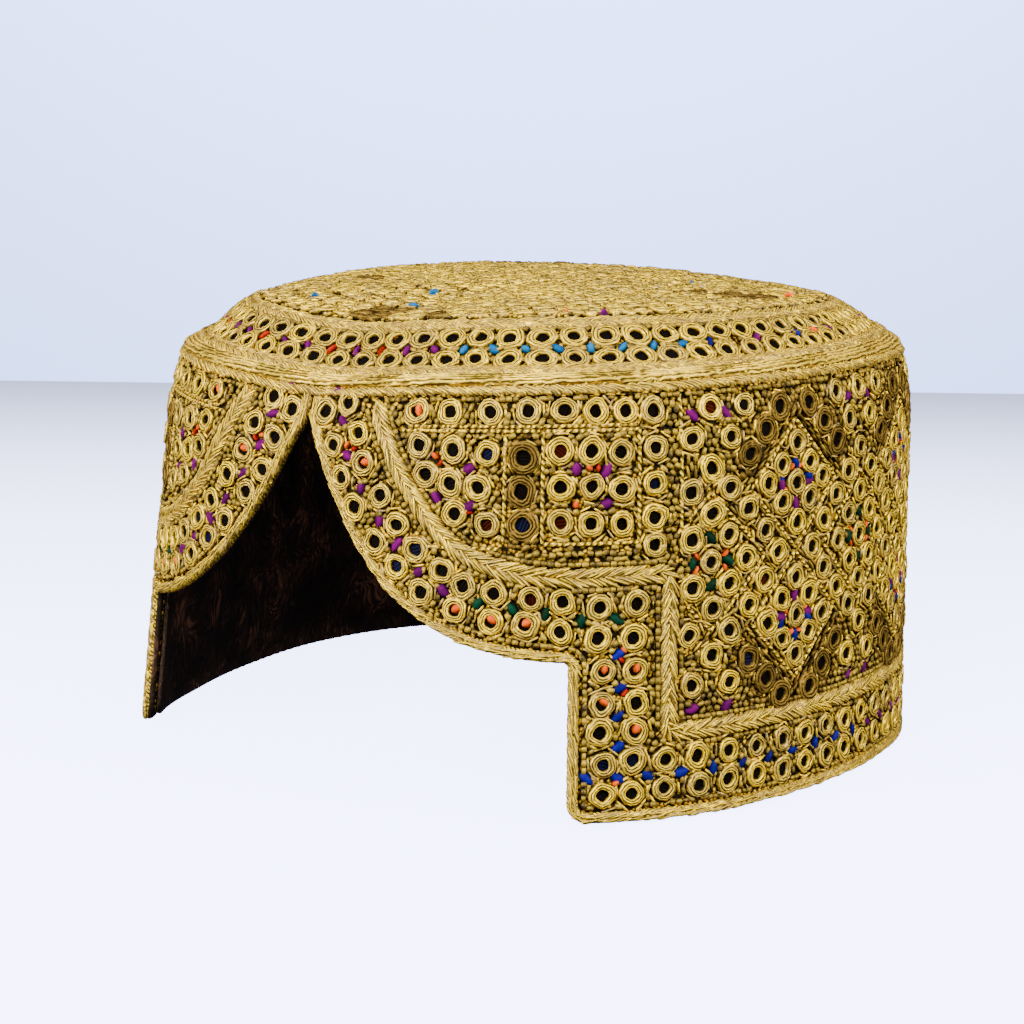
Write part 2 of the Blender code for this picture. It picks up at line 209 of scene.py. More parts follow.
def wall_pattern(name, inset):
    """The wall's cut, flat: its flap over the cut-out and its band down to the hem."""
    edge = arch_line(inset)
    side, low = OPENING_HALF_WIDTH + inset, STEP_HEIGHT + inset
    beside = np.linspace(side, BACK, 121)
    half_flap = np.concatenate([np.linspace(0, side, 31), beside[1:]])
    flap_stations = np.concatenate([-half_flap[::-1], half_flap[1:]])
    band_stations = np.concatenate([beside, GIRTH - beside[-2::-1]])

    def cut_flap(at):
        along = spread(at[:, 0], flap_stations)
        bottom = np.interp(np.abs(along), edge[:, 0], edge[:, 1])
        bottom = np.where(np.abs(along) > side - 1e-6, low, np.maximum(bottom, low))
        return np.stack([along, bottom + (WALL_HEIGHT - bottom) * at[:, 1], at[:, 2]], -1)

    def cut_band(at):
        along = spread(at[:, 0], band_stations)
        centre, radius = OPENING_HALF_WIDTH + HEEL_RADIUS, HEEL_RADIUS - inset
        reach = np.clip(centre - (BACK - np.abs(along - BACK)), 0, radius)
        bottom = HEEL_RADIUS - np.sqrt(radius**2 - reach**2)
        return np.stack([along, bottom + (low - bottom) * at[:, 1], at[:, 2]], -1)

    flap = flat_grid(name, len(flap_stations) - 1, 18)
    band = flat_grid(name + "_band", len(band_stations) - 1, 10)
    shape(flap, cut_flap)
    shape(band, cut_band)
    return join_up(flap, band)


def tint(code):
    """Linear colour of an sRGB hex code."""
    parts = [int(code[k : k + 2], 16) / 255 for k in (1, 3, 5)]
    return tuple(c / 12.92 if c <= 0.04045 else ((c + 0.055) / 1.055) ** 2.4 for c in parts) + (1,)


def add(tree, kind, settings=None, links=None):
    """Add a shader node. A setting names a socket or a property; a link comes from a socket
    or from a node's first output."""
    made = tree.nodes.new("ShaderNode" + kind)
    for name, value in (settings or {}).items():
        if isinstance(name, int) or name in made.inputs:
            made.inputs[name].default_value = value
        else:
            setattr(made, name, value)
    for name, source in (links or {}).items():
        socket = source.outputs[0] if hasattr(source, "outputs") else source
        tree.links.new(socket, made.inputs[name])
    return made


def new_material(name):
    """A material with no nodes yet, its tree and its own coordinates."""
    made = bpy.data.materials.new(name)
    made.use_nodes = True
    made.node_tree.nodes.clear()
    return made, made.node_tree, add(made.node_tree, "TexCoord").outputs["Object"]


def ramp(tree, source, low, middle, high):
    """Three colours over a value, each a place on it and a hex code."""
    made = add(tree, "ValToRGB", links={0: source})
    for stop, (place, code) in zip(made.color_ramp.elements, (low, high)):
        stop.position, stop.color = place, tint(code)
    made.color_ramp.elements.new(middle[0]).color = tint(middle[1])
    return made


def coat(tree, settings, links):
    """The shader that ends a material."""
    shader = add(tree, "BsdfPrincipled", settings, links)
    add(tree, "OutputMaterial", links={"Surface": shader})


# Dark cotton couched all over with gold thread: short rounded stitches about 1.2 mm
# across with near-black gaps, partly the dark cotton and partly painted shade between
# the stitches, so it reads as gold grain on a dark ground.
couched_cotton, tree, where = new_material("Dark cotton couched with gold thread")
cells = add(tree, "TexVoronoi", {"Scale": 850.0, "Randomness": 0.9}, {"Vector": where})
mound = add(tree, "MapRange", {1: 0.62, 2: 0.18}, {0: cells})
# The near-black at the cells' edges is partly the cotton's own dark and partly painted shade in the
# gaps.
gold = ramp(tree, mound, (0.08, "#120b03"), (0.35, "#76560f"), (0.9, "#d6a52e"))
lift = add(tree, "Bump", {"Strength": 0.9, "Distance": 0.0006}, {"Height": mound})
coat(
    tree,
    {"Roughness": 0.6, "Metallic": 0.2, "Specular IOR Level": 0.05},
    {"Base Color": gold, "Normal": lift},
)

wall_ground = wall_pattern("wall_ground", EDGE_INSET)
shape(wall_ground, lambda at: on_wall(at[:, 0], at[:, 1], at[:, 2] - RELIEF))
join_up(wall_ground)
thicken(wall_ground, WALL_CLOTH)
wall_ground.data.materials.append(couched_cotton)
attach(wall_ground, "root")
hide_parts("side_wall")


# Crown cloth: the round top, cut from the same couched cotton and sewn to the wall. It
# turns over a soft shoulder, slopes up between two braids and is nearly flat on top.

CROWN_RISE = 0.0159
CROWN_CLOTH = 0.002
CROWN_SLUMP = 0.0020  # how far the worn crown has sunk at its right side
SLUMP_SHARES = (0.25, 0.60, 0.76, 0.82, 0.87, 0.92, 0.96, 1.00)
SLUMP_DEPTHS = (0.0, 0.6, 1.0, 0.75, -0.2, -0.5, -0.15, 0.1)
# Share of the radius and height over the seam, from the seam to the middle
CROWN_SECTION = np.array(
    (
        (1.000, 0.00), (0.998, 0.11), (0.977, 0.19), (0.942, 0.24), (0.891, 0.31),
        (0.812, 0.79), (0.768, 0.93), (0.640, 0.96), (0.350, 0.985), (0.000, 1.00),
    )
)


def crown_rise(share):
    """Height over the seam at a share of the radius, its corners eased as in cloth."""
    fine = np.linspace(0, 1, 401)
    rise = np.interp(fine, CROWN_SECTION[::-1, 0], CROWN_SECTION[::-1, 1])
    window = np.hanning(15)[1:-1] / np.hanning(15).sum()
    soft = np.convolve(np.pad(rise, 6, mode="edge"), window, "valid")
    return np.interp(share, fine, np.where(fine > 0.97, rise, soft))


def on_crown(along, share, outward=0.0):
    """The crown's outside, by the length round from the front and the radius share."""
    azimuth = azimuth_at(along)
    radius = CAP_RADIUS * outline(RADIUS, azimuth)
    drop = crown_rise(share - 0.004) - crown_rise(share + 0.004)
    slope = drop * CROWN_RISE / (0.008 * radius)
    steep = np.sqrt(1 + slope**2)
    height = WALL_HEIGHT + CROWN_RISE * crown_rise(share) + SEAM_DIP * outline(DIP, azimuth) * share
    slump = CROWN_SLUMP * (0.7 - 0.3 * np.cos(azimuth + 0.9)) * np.sin(azimuth - 0.63) ** 2
    height = height - slump * np.interp(share, SLUMP_SHARES, SLUMP_DEPTHS)
    reach = radius * share - SHOULDER_SOFTNESS * np.clip((share - 0.88) / 0.12, 0.0, 1.0)
    return round_cap(azimuth, reach, height + outward / steep, outward * slope / steep)


crown_ground = flat_grid("crown_ground", 240, 44)
shape(crown_ground, lambda at: on_crown(at[:, 0] * GIRTH, 1 - at[:, 1]))
join_up(crown_ground)
thicken(crown_ground, CROWN_CLOTH)
crown_ground.data.materials.append(couched_cotton)
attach(crown_ground, "root")
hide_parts("crown")


# Lining: dark brown cotton inside the wall and the crown, sewn in at the piping. Loose
# reddish threads of the embroidery's back show on it as streaks.

LINING_CLOTH = 0.001
SEWN_GAP = 0.0003
LINING_DEPTH = RELIEF + WALL_CLOTH + SEWN_GAP
LINING_REACH = 0.975  # share of the crown's radius that its lining covers


def noise(tree, where, scale, detail, roughness=0.5):
    settings = {"Scale": scale, "Detail": detail, "Roughness": roughness}
    return add(tree, "TexNoise", settings, {"Vector": where})


# Dark carded cotton with reddish brown threads that catch the light in streaks about
# 1 mm wide and 8 mm long.
lining_cotton, tree, where = new_material("Dark cotton lining with reddish threads")
warp = noise(tree, where, 45.0, 2.0).outputs["Color"]
bent = add(tree, "Mix", {"data_type": "VECTOR", 0: 0.03}, {4: where, 5: warp}).outputs[1]
stretch = {"Scale": (900.0, 900.0, 120.0), "Rotation": (0.5, 0.3, 0.0)}
streak = noise(tree, add(tree, "Mapping", stretch, {"Vector": bent}), 1.0, 3.0, 0.6)
cloudy = noise(tree, where, 70.0, 3.0)
both = add(tree, "Math", {"operation": "MULTIPLY"}, {0: streak, 1: cloudy})
brown = ramp(tree, both, (0.20, "#241b18"), (0.30, "#442e26"), (0.42, "#96624a"))
lift = add(tree, "Bump", {"Strength": 0.7, "Distance": 0.0008}, {"Height": streak})
coat(tree, {"Roughness": 0.85, "Specular IOR Level": 0.1}, {"Base Color": brown, "Normal": lift})

lining_wall = wall_pattern("lining_wall", EDGE_INSET)
shape(lining_wall, lambda at: on_wall(at[:, 0], at[:, 1], at[:, 2] - LINING_DEPTH))
join_up(lining_wall)
thicken(lining_wall, LINING_CLOTH)
lining_wall.data.materials.append(lining_cotton)
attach(lining_wall, "root")
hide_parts("lining")

lining_crown = flat_grid("lining_crown", 120, 20)
shape(
    lining_crown,
    lambda at: on_crown(at[:, 0] * GIRTH, LINING_REACH * (1 - at[:, 1]), -LINING_DEPTH),
)
join_up(lining_crown)
thicken(lining_crown, LINING_CLOTH)
lining_crown.data.materials.append(lining_cotton)
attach(lining_crown, "root")
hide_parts("lining")


# Piping: gold thread twisted into a two-ply cord, whipped over the free edge of the wall
# all the way round: the slit, the arch, the step, the upright edge and the hem.

PLY_PITCH = 0.0034  # length of one full twist
THREAD_PITCH = 0.0011
ROPE_STEP = 0.00042
ROPE_SIDES = 12
LINED_SIDE = 7  # from this side on the cord is bound with the lining's cotton
CORNER_RADIUS = 0.001


def even_steps(line, spacing, surface=None):
    """A pattern line read at even steps along its length, flat or as it lies on a surface."""
    length = run_lengths(surface(*line.T) if surface else line)
    at = np.linspace(0, length[-1], max(2, int(round(length[-1] / spacing)) + 1))
    return np.stack([np.interp(at, length, line[:, axis]) for axis in (0, 1)], -1), at


def corner_arc(centre, radius, start, end, steps=6):
    turn = np.radians(np.linspace(start, end, steps + 1))
    return np.array(centre) + radius * np.stack([np.cos(turn), np.sin(turn)], -1)


def free_edge(inset):
    """Half of the free edge, from the slit's top to the back, set back into the cloth."""
    side, slit = OPENING_HALF_WIDTH, SLIT_HALF_WIDTH + inset
    corner = (side - CORNER_RADIUS, STEP_HEIGHT - CORNER_RADIUS)
    step = corner_arc(corner, CORNER_RADIUS + inset, 90, 0)
    heel = corner_arc((side + HEEL_RADIUS, HEEL_RADIUS), HEEL_RADIUS - inset, 180, 270)
    top = ((slit, WALL_HEIGHT), (slit, ARCH_HEIGHT))
    return np.concatenate([top, arch_line(inset)[2:-1], step, heel, ((BACK, inset),)])


def both_sides(line):
    """A half line that ends at the back, carried on round the other side."""
    return np.concatenate([line, np.stack([GIRTH - line[-2::-1, 0], line[-2::-1, 1]], -1)])


def line_frames(line, surface):
    """Places on a surface along a line, each with its run, its side and its outward."""
    ahead = unit(np.gradient(line, axis=0)) * 1e-4
    place = surface(line[:, 0], line[:, 1])
    run = surface(line[:, 0] + ahead[:, 0], line[:, 1] + ahead[:, 1]) - place
    cross = surface(line[:, 0] + ahead[:, 1], line[:, 1] - ahead[:, 0]) - place
    run, out = unit(run), unit(np.cross(cross, run))
    return place, run, np.cross(run, out), out


def mesh_piece(name, corners, loops, sizes, lay, tone):
    """A mesh from its corners, the faces' corner numbers in one row and the faces' sizes,
    with the thread's lay and tone at each corner."""
    data = bpy.data.meshes.new(name)
    data.vertices.add(len(corners))
    data.vertices.foreach_set("co", np.asarray(corners, np.float32).ravel())
    data.loops.add(len(loops))
    data.loops.foreach_set("vertex_index", loops.astype(np.int32))
    data.polygons.add(len(sizes))
    starts = np.concatenate([[0], np.cumsum(sizes)[:-1]])
    data.polygons.foreach_set("loop_start", starts.astype(np.int32))
    data.update(calc_edges=True)
    for label, values in (("lay", lay), ("tone", tone)):
        made = data.attributes.new(label, "FLOAT", "POINT")
        made.data.foreach_set("value", np.asarray(values, np.float32))
    data.shade_smooth()
    piece = bpy.data.objects.new(name, data)
    bpy.context.collection.objects.link(piece)
    return piece


def skin(rings):
    """Corner numbers of the skin over rings of points, which have the shape (stations,
    sides, 3), and of its two ends, with the faces' sizes."""
    stations, sides = rings.shape[:2]
    foot, side = np.arange(stations - 1)[:, None] * sides, np.arange(sides)[None, :]
    follow = (side + 1) % sides
    quads = np.stack([foot + side, foot + follow, foot + sides + follow, foot + sides + side], -1)
    first, last = side[0, ::-1], (stations - 1) * sides + side[0]
    return quads.ravel(), first, last, [4] * (quads.size // 4) + [sides, sides]


def thread_material(name, colours, metallic, roughness, wind, gloss, depth=0.00032):
    """Thread laid side by side: each whole step of the lay is one thread with creases at
    both sides, where shade is painted in, and the tone turns a stitch lighter or darker
    as its thread lies. Colours are the painted shade in the creases, the dark threads
    and the light ones."""
    made, tree, where = new_material(name)
    lay, tone = (
        add(tree, "Attribute", {"attribute_name": label}).outputs["Fac"]
        for label in ("lay", "tone")
    )
    sway = {"operation": "MULTIPLY_ADD", 1: wind, 2: -wind / 2}
    sway = add(tree, "Math", sway, {0: noise(tree, where, 420.0, 1.0)})
    lay = add(tree, "Math", {"operation": "ADD"}, {0: lay, 1: sway})
    ridge = add(tree, "Math", {"operation": "PINGPONG", 1: 0.5}, {0: lay})
    smooth = {1: 0.0, 2: 0.42, "interpolation_type": "SMOOTHSTEP"}
    ridge = add(tree, "MapRange", smooth, {0: ridge})
    # Noise lifts the ridge in patches and breaks the crease lines: there the painted shade of the
    # creases and the bump both stop.
    broken_creases = add(tree, "MapRange", {1: 0.52, 2: 0.72, 4: 0.85}, {0: noise(tree, where, 620.0, 1.0)})
    ridge = add(tree, "Math", {"operation": "MAXIMUM"}, {0: ridge, 1: broken_creases})
    # Fine noise flecks the thread between its dark and light colours as painted sparkle, glints of
    # the gilt strip; as a bump it is the thread's fuzz.
    fibre_and_sparkle = noise(tree, where, 2200.0, 2.0, 0.6)
    patch = noise(tree, where, 850.0, 2.0)
    shade = add(tree, "Math", {"operation": "MULTIPLY_ADD", 1: 0.9}, {0: fibre_and_sparkle, 2: tone})
    shade = add(tree, "Math", {"operation": "MULTIPLY_ADD", 1: 1.0}, {0: patch, 2: shade})
    shade = add(tree, "MapRange", {1: 0.5, 2: 1.45}, {0: shade})
    crease_shade, dark, light = (tint(code) for code in colours)
    body = add(tree, "Mix", {"data_type": "RGBA", 6: dark, 7: light}, {0: shade}).outputs[2]
    # The creases between the threads take the first colour: painted shade.
    colour = add(tree, "Mix", {"data_type": "RGBA", 6: crease_shade}, {0: ridge, 7: body}).outputs[2]
    lift = add(tree, "Bump", {"Strength": 1.0, "Distance": depth}, {"Height": ridge})
    fuzz = {"Strength": 0.35, "Distance": 0.0001}
    fuzz = add(tree, "Bump", fuzz, {"Height": fibre_and_sparkle, "Normal": lift})
    shine = {"Roughness": roughness, "Metallic": metallic, "Specular IOR Level": gloss}
    coat(tree, {**shine, "Specular Tint": tint("#f0b020")}, {"Base Color": colour, "Normal": fuzz})
    return made


# Metal-wrapped gold thread: cotton cores wound with gilt strip, so it is warm yellow,
# half metallic and bright on its ridges; the dark brown in the creases between the
# threads is painted shade.
gilt_thread = thread_material(
    "Gilt thread wound on cotton", ("#201a12", "#806a50", "#f2c412"), 0.5, 0.42, 1.0, 0.05
)

chance = np.random.default_rng(7)
edge, at = even_steps(both_sides(free_edge(PIPING_RADIUS)), ROPE_STEP)
place, ahead, aside, outward = line_frames(edge, on_wall)
turn = np.linspace(0, 2 * pi, ROPE_SIDES, endpoint=False)[None, :]
lobes = PIPING_RADIUS * (0.86 + 0.06 * np.cos(4 * turn - 2 * pi * at[:, None] / PLY_PITCH))
depth = (WALL_CLOTH + SEWN_GAP + LINING_CLOTH) / 2
rings = place[:, None] + aside[:, None] * (lobes * np.cos(turn))[..., None]
rings = rings + outward[:, None] * (lobes * np.sin(turn) * 1.1 - depth * 0.8)[..., None]
rings[..., 2] = np.maximum(rings[..., 2], 0.0)
# The lay winds round the cord, so spiral crease lines take the crease colour: painted shade between
# its threads.
lay = (np.abs(turn - pi / 2) * 0.9 + at[:, None] / THREAD_PITCH).ravel()
*faces, sizes = skin(rings)
tone = np.full(lay.size, 0.1)
edge_piping = mesh_piece(
    "edge_piping", rings.reshape(-1, 3), np.concatenate(faces), sizes, lay, tone
)
edge_piping.data.materials.append(gilt_thread)
edge_piping.data.materials.append(lining_cotton)
bound = np.zeros(len(sizes), np.int32)
bound[:-2] = np.tile(np.arange(ROPE_SIDES) >= LINED_SIDE, len(edge) - 1)
edge_piping.data.polygons.foreach_set("material_index", bound)
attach(edge_piping, "root")
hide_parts("rim_piping")


# Braids: flat plaits of gilt thread, couched down. One frames the cut-out and runs on
# above the hem, one hides the seam of wall and crown, two edge the crown's slope.

LEAF_PITCH = 0.0012
LEAF_RISE = 0.0013
LEAF_SLANT = 25
BRAID_WIDTH = 0.0043
EDGE_PLAIT_WIDTH = 0.0027
EDGE_LEAF_PITCH = 0.0009
EDGE_LEAF_SLANT = 10
EDGE_PLAIT_FOOT = -0.0009
RING_BRAID_WIDTH = 0.0036
ARCH_BORDER = 0.0195
SIDE_BORDER = 0.0237
HEM_BORDER = 0.0200
BORDER_TURN = 0.002
TOP_BRAID_RISE = 0.0016
TOP_BRAID_TILT = 0.7
CROWN_BRAID_SHARE = 0.9165
INNER_BRAID_SHARE = 0.790
STITCH_FOOT = 0.12  # a stitch is cut flat this far under its middle


def model_stitch(name, sides, steps, bluntness):
    """One stitch of thread: a sausage along x with its foot cut flat, a unit each way."""
    bpy.ops.mesh.primitive_uv_sphere_add(segments=sides, ring_count=steps, radius=0.5)
    stitch = bpy.context.object
    stitch.name = stitch.data.name = name
    bpy.ops.object.mode_set(mode="EDIT")
    bpy.ops.mesh.select_all(action="SELECT")
    bpy.ops.transform.rotate(value=pi / 2, orient_axis="Y", center_override=(0, 0, 0))
    bpy.ops.mesh.bisect(
        plane_co=(0, 0, -STITCH_FOOT), plane_no=(0, 0, 1), clear_inner=True, use_fill=True
    )
    bpy.ops.object.mode_set(mode="OBJECT")

    def blunt(at):
        length = np.sign(at[:, 0]) * np.abs(2 * at[:, 0]) ** bluntness / 2
        return np.stack([length, at[:, 1], (at[:, 2] + STITCH_FOOT) / (0.5 + STITCH_FOOT)], -1)

    shape(stitch, blunt)
    return stitch


def take(piece, lay):
    """A modelled shape as corners, faces and thread lay, to be copied; it is put away.
    Modelling leaves the faces in any order, so they are sorted, to be the same each run."""
    corners = np.array([tuple(v.co) for v in piece.data.vertices])
    faces = []
    for face in piece.data.polygons:
        loop = list(face.vertices)
        first = loop.index(min(loop)) if len(loop) > 4 else 0
        faces.append(loop[first:] + loop[:first])
    faces.sort(key=sorted)
    bpy.data.objects.remove(piece, do_unlink=True)
    return corners, np.concatenate(faces), [len(face) for face in faces], lay(*corners.T)


def sew(name, model, spots, frames, reshape=None, ruffle=0.0):
    """Copies of a modelled shape, sewn down at spots and joined into one piece.

    spots has rows of length, width, rise, turn and tone; frames the places they sit at.
    """
    corners, loops, sizes, lay = model
    place, ahead, aside, outward = (part[:, None] for part in frames)
    length, width, rise, turn, tone = (spots[:, k, None] for k in range(5))
    x = corners[None, :, 0] * length
    y = corners[None, :, 1] * width
    if reshape:
        x, y = reshape(x, y)
    flat_x = x * np.cos(turn) - y * np.sin(turn)
    flat_y = x * np.sin(turn) + y * np.cos(turn)
    up = corners[None, :, 2] * rise * (1 + chance.uniform(-ruffle, ruffle, x.shape))
    points = place + flat_x[..., None] * ahead
    points = points + flat_y[..., None] * aside + up[..., None] * outward
    points[..., 2] = np.maximum(points[..., 2], 0.0001)
    count, size = len(spots), len(corners)
    return mesh_piece(
        name,
        points.reshape(-1, 3),
        (loops + size * np.arange(count)[:, None]).ravel(),
        np.tile(sizes, count),
        np.tile(lay, count),
        np.repeat(tone.ravel(), size),
    )


# Two crease lines run along each leaf and take the crease colour: painted shade between its plies.
leaf = take(model_stitch("braid_leaf", 6, 6, 0.75), lambda x, y, z: y * 2 + 0.5)
# The same gilt thread in bundles: the plies lie close, so the painted shade in its
# creases stays light.
plaited_thread = thread_material(
    "Gilt thread plaited flat", ("#604a28", "#a08452", "#f4c814"), 0.5, 0.42, 0.9, 0.05, 0.0002
)


def leaf_sizes(length, width, lean, slant, sway, count):
    """One row of a plait's leaves, slanted the way it leans."""
    return np.stack(
        [
            length * chance.uniform(0.8, 1.15, count),
            width * chance.uniform(0.8, 1.2, count),
            LEAF_RISE * chance.uniform(0.75, 1.2, count),
            lean * (np.radians(slant) + chance.uniform(-sway, sway, count)),
            chance.uniform(-0.25, 0.35, count),
        ],
        -1,
    )


def lay_plait(name, leaves, seats, ways, node):
    """Sew down a plait's two rows of leaves and hang the plait on the cap."""
    frames = (np.concatenate(seats), *(np.tile(way, (2, 1)) for way in ways))
    piece = sew(name, leaf, np.concatenate(leaves), frames)
    piece.data.materials.append(plaited_thread)
    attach(piece, "root")
    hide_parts(node)
    return piece


def plait(
    name, line, width, node, pitch=LEAF_PITCH, foot=-RELIEF, slant=LEAF_SLANT, rope=False, tilt=0.0
):
    """A flat plait on the wall: two rows of slanted leaves that meet along the middle.

    As a rope both rows slant one way; tilt leans it over toward the crown, in radians.
    """
    path, _ = even_steps(line, pitch)
    place, ahead, _, outward = line_frames(path, on_wall)
    place = place + foot * outward
    outward = outward * np.cos(tilt) + np.array((0, 0, 1)) * np.sin(tilt)
    aside = np.cross(outward, ahead)
    count = len(path)
    leaves, seats = [], []
    for side, slide in ((1, 0.0), (-1, 0.5)):
        length, lean = width * (2.0 if rope else 1.3), 1 if rope else side
        leaves.append(leaf_sizes(length, pitch, lean, slant, 0.14, count))
        offset = side * width * (0.16 if rope else 0.22)
        offset = offset + chance.uniform(-0.06, 0.06, count) * width
        seats.append(place + aside * offset[:, None] + ahead * (slide * pitch))
    return lay_plait(name, leaves, seats, (ahead, aside, outward), node)


def frame_line():
    """Half of the frame braid's middle line, from the top braid to the back."""
    side, shelf = OPENING_HALF_WIDTH + SIDE_BORDER, STEP_HEIGHT + ARCH_BORDER
    arch = arch_line(ARCH_BORDER)
    arch = arch[arch[:, 1] < WALL_HEIGHT - 0.001]
    shoulder = corner_arc((side - BORDER_TURN, shelf - BORDER_TURN), BORDER_TURN, 90, 0)
    heel = corner_arc((side + BORDER_TURN, HEM_BORDER + BORDER_TURN), BORDER_TURN, 180, 270)
    return np.concatenate([arch, shoulder, heel, ((BACK, HEM_BORDER),)])


def ring_line(level):
    """A line round the wall at one height, or round the crown at one share."""
    return np.stack([np.linspace(0, GIRTH, 400), np.full(400, level)], -1)


frame_path = both_sides(frame_line())
plait("frame_plait", frame_path, BRAID_WIDTH, "frame_braid")
edge_plait = plait(
    "edge_plait",
    both_sides(free_edge(PIPING_RADIUS)),
    EDGE_PLAIT_WIDTH,
    "rim_piping",
    EDGE_LEAF_PITCH,
    EDGE_PLAIT_FOOT,
    EDGE_LEAF_SLANT,
    rope=True,
)
top_line = ring_line(WALL_HEIGHT + TOP_BRAID_RISE)
plait("top_plait", top_line, RING_BRAID_WIDTH, "side_top_braid", tilt=TOP_BRAID_TILT)


def seat(surface, spots, step, sink):
    """Places at spots, each with its run round the cap, its side and its outward."""
    along, level = np.asarray(spots).T
    ahead = surface(along + 2e-4, level) - surface(along - 2e-4, level)
    side = surface(along, level + step) - surface(along, level - step)
    ahead, outward = unit(ahead), unit(np.cross(ahead, side))
    return surface(along, level, -sink), ahead, np.cross(outward, ahead), outward


def crown_seats(spots):
    """Seats at (along, share) spots on the crown, their side inward."""
    return seat(on_crown, spots, -1e-3, 0.0)


def crown_plait(name, share, node):
    """A plait round the crown, made as the wall's are."""
    line = even_steps(ring_line(share), LEAF_PITCH, on_crown)[0][:-1]
    place, *ways = crown_seats(line)
    leaves, seats = [], []
    for side, slide in ((1, 0.0), (-1, 0.5)):
        length, width = RING_BRAID_WIDTH * 1.3, LEAF_PITCH * 0.95
        leaves.append(leaf_sizes(length, width, side, LEAF_SLANT, 0.16, len(line)))
        offset = ways[1] * side * RING_BRAID_WIDTH * 0.22
        seats.append(place + offset + ways[0] * (slide * LEAF_PITCH))
    lay_plait(name, leaves, seats, ways, node)


crown_plait("crown_plait", CROWN_BRAID_SHARE, "crown_braid")
crown_plait("inner_crown_plait", INNER_BRAID_SHARE, "inner_crown_braid")


# Rings: gilt thread wound three times round a peg and whipped down, each about 6.5 mm
# across with a dark hole. A few are of older bronze-coloured thread.

RING_HALF = 0.0032
BRONZE_RING_HALF = 0.0036
RING_RISE = 0.0013
RING_BORE = 0.41
MM = 0.001

# Places on the right half of the wall, in mm: length round from the front, height. The
# left half is its mirror.
BORDER_RINGS = (
    (5, 93), (9, 85.5), (12, 77.5), (16.5, 71), (22.5, 63), (28.5, 57.5), (35, 52), (43.5, 48),
    (52, 46), (60, 45.5), (67.5, 44), (76.5, 42.5), (77.5, 35), (77.5, 27.5), (77, 21), (77.5, 14),
    (77.5, 6.8), (12, 95), (16, 88.5), (18.5, 81), (23.5, 74), (28.5, 67), (33.5, 61.5),
    (40, 57), (45.5, 54), (52.5, 52.5), (61, 51.7), (68.5, 50.8), (76.5, 49.5), (85, 50),
    (84.5, 42.3), (85, 35), (85, 27.5), (85, 21), (84.5, 14), (84.5, 7),
)
PANEL_RINGS = (
    (32, 93), (41, 93), (50.5, 93), (60, 93), (68, 93), (75.5, 93), (82.5, 93), (89.2, 92.5),
    (33.5, 85.5), (42, 85), (50.5, 84), (67, 84.5), (74.3, 84.5), (81.5, 84), (89.3, 84.5),
    (35.5, 79), (41.5, 77), (48.5, 76.5), (67.5, 76.5), (74.5, 76.5), (81.5, 76), (89.3, 76.5),
    (42.5, 70.5), (50.5, 68), (67.5, 68.5), (74.5, 68.3), (81.5, 68), (89.3, 69.5), (89.3, 63),
)
BRONZE_RINGS = ((59, 83), (58.5, 75.5), (59, 68))
# A quarter of the lattice's cell, in mm from the cell's middle
CELL_RINGS = (
    (0, 6.6), (4.8, 11.2), (0, 15.3), (9.7, 16.1), (4.8, 20), (0, 24.5), (6, 0), (10.6, 5.5),
    (15.7, 11), (20.8, 16.1), (26.3, 21.2), (21.2, 28), (26.3, 34.8), (16.4, 34.7), (26.3, 0),
    (16.4, 0), (21.4, 5.4), (26.3, 10.8),
)
CELL_BRONZE = ((5.2, 33.2), (10.3, 28.6), (15.4, 23.6))
CELL_MIDDLE = (130.0, 57.9)
CELLS = (-2, 0, 2, 4, 6)  # middles of the cells, in half cells from the first
CELL_HALF = 26.3
BACK_CELL_HALF = 23.78  # past the second half cell they are narrower, to meet at the back
HEM_START, HEM_PITCH, HEM_COUNT = 92.0, 8.38, 25


def cell_along(step):
    """Length round the cap, in mm, at a number of half cells from the first middle."""
    return CELL_MIDDLE[0] + CELL_HALF * min(step, 2) + BACK_CELL_HALF * max(step - 2, 0)


def lattice(quarter):
    """Places of a quarter cell's marks over the whole side panel, in mm."""
    found = set()
    for cell in CELLS:
        for along, rise in quarter:
            for side, way in ((-1, -1), (-1, 1), (1, -1), (1, 1)):
                past = cell_along(cell + side * along / CELL_HALF)
                spot = (round(past, 2), round(CELL_MIDDLE[1] + way * rise, 2))
                if 98 < spot[0] < BACK / MM + 0.1 and 24 < spot[1] < 93.5:
                    found.add(spot)
    return tuple(sorted(found))


def mirrored(spots):
    """Spots of the right half with those of the left, in metres."""
    spots = np.array(spots, float) * MM
    return np.concatenate([spots, spots[np.abs(spots[:, 0] - BACK) > 0.001] * (-1, 1)])


def wall_seats(spots):
    """Seats at (along, height) spots on the wall, their side upward."""
    return seat(on_wall, spots, 2e-4, RELIEF)


def model_ring():
    """One ring, a unit in radius and height: a circle drawn up and in, then closed below."""
    bpy.ops.mesh.primitive_circle_add(vertices=14, radius=1.0)
    ring = bpy.context.object
    bpy.ops.object.mode_set(mode="EDIT")
    bpy.ops.mesh.select_all(action="SELECT")
    last, level = 1.0, 0.0
    for radius, height in ((0.97, 0.6), (0.83, 0.96), (0.64, 1.0), (0.48, 0.75), (RING_BORE, 0.0)):
        bpy.ops.mesh.extrude_edges_move(TRANSFORM_OT_translate={"value": (0, 0, height - level)})
        factor = radius / last
        bpy.ops.transform.resize(value=(factor, factor, 1), center_override=(0, 0, 0))
        last, level = radius, height
    bpy.ops.mesh.select_all(action="DESELECT")
    bpy.ops.mesh.select_mode(type="EDGE")
    bpy.ops.mesh.select_non_manifold()
    bpy.ops.mesh.bridge_edge_loops()
    bpy.ops.mesh.select_all(action="SELECT")
    bpy.ops.mesh.normals_make_consistent(inside=False)
    bpy.ops.object.mode_set(mode="OBJECT")
    return ring


# The lay steps about three times across a ring, so its outer foot and the creases between its
# windings take the crease colour: painted shade.
ring = take(model_ring(), lambda x, y, z: (1 - np.hypot(x, y)) / (1 - RING_BORE) * 2.9 + 0.05)


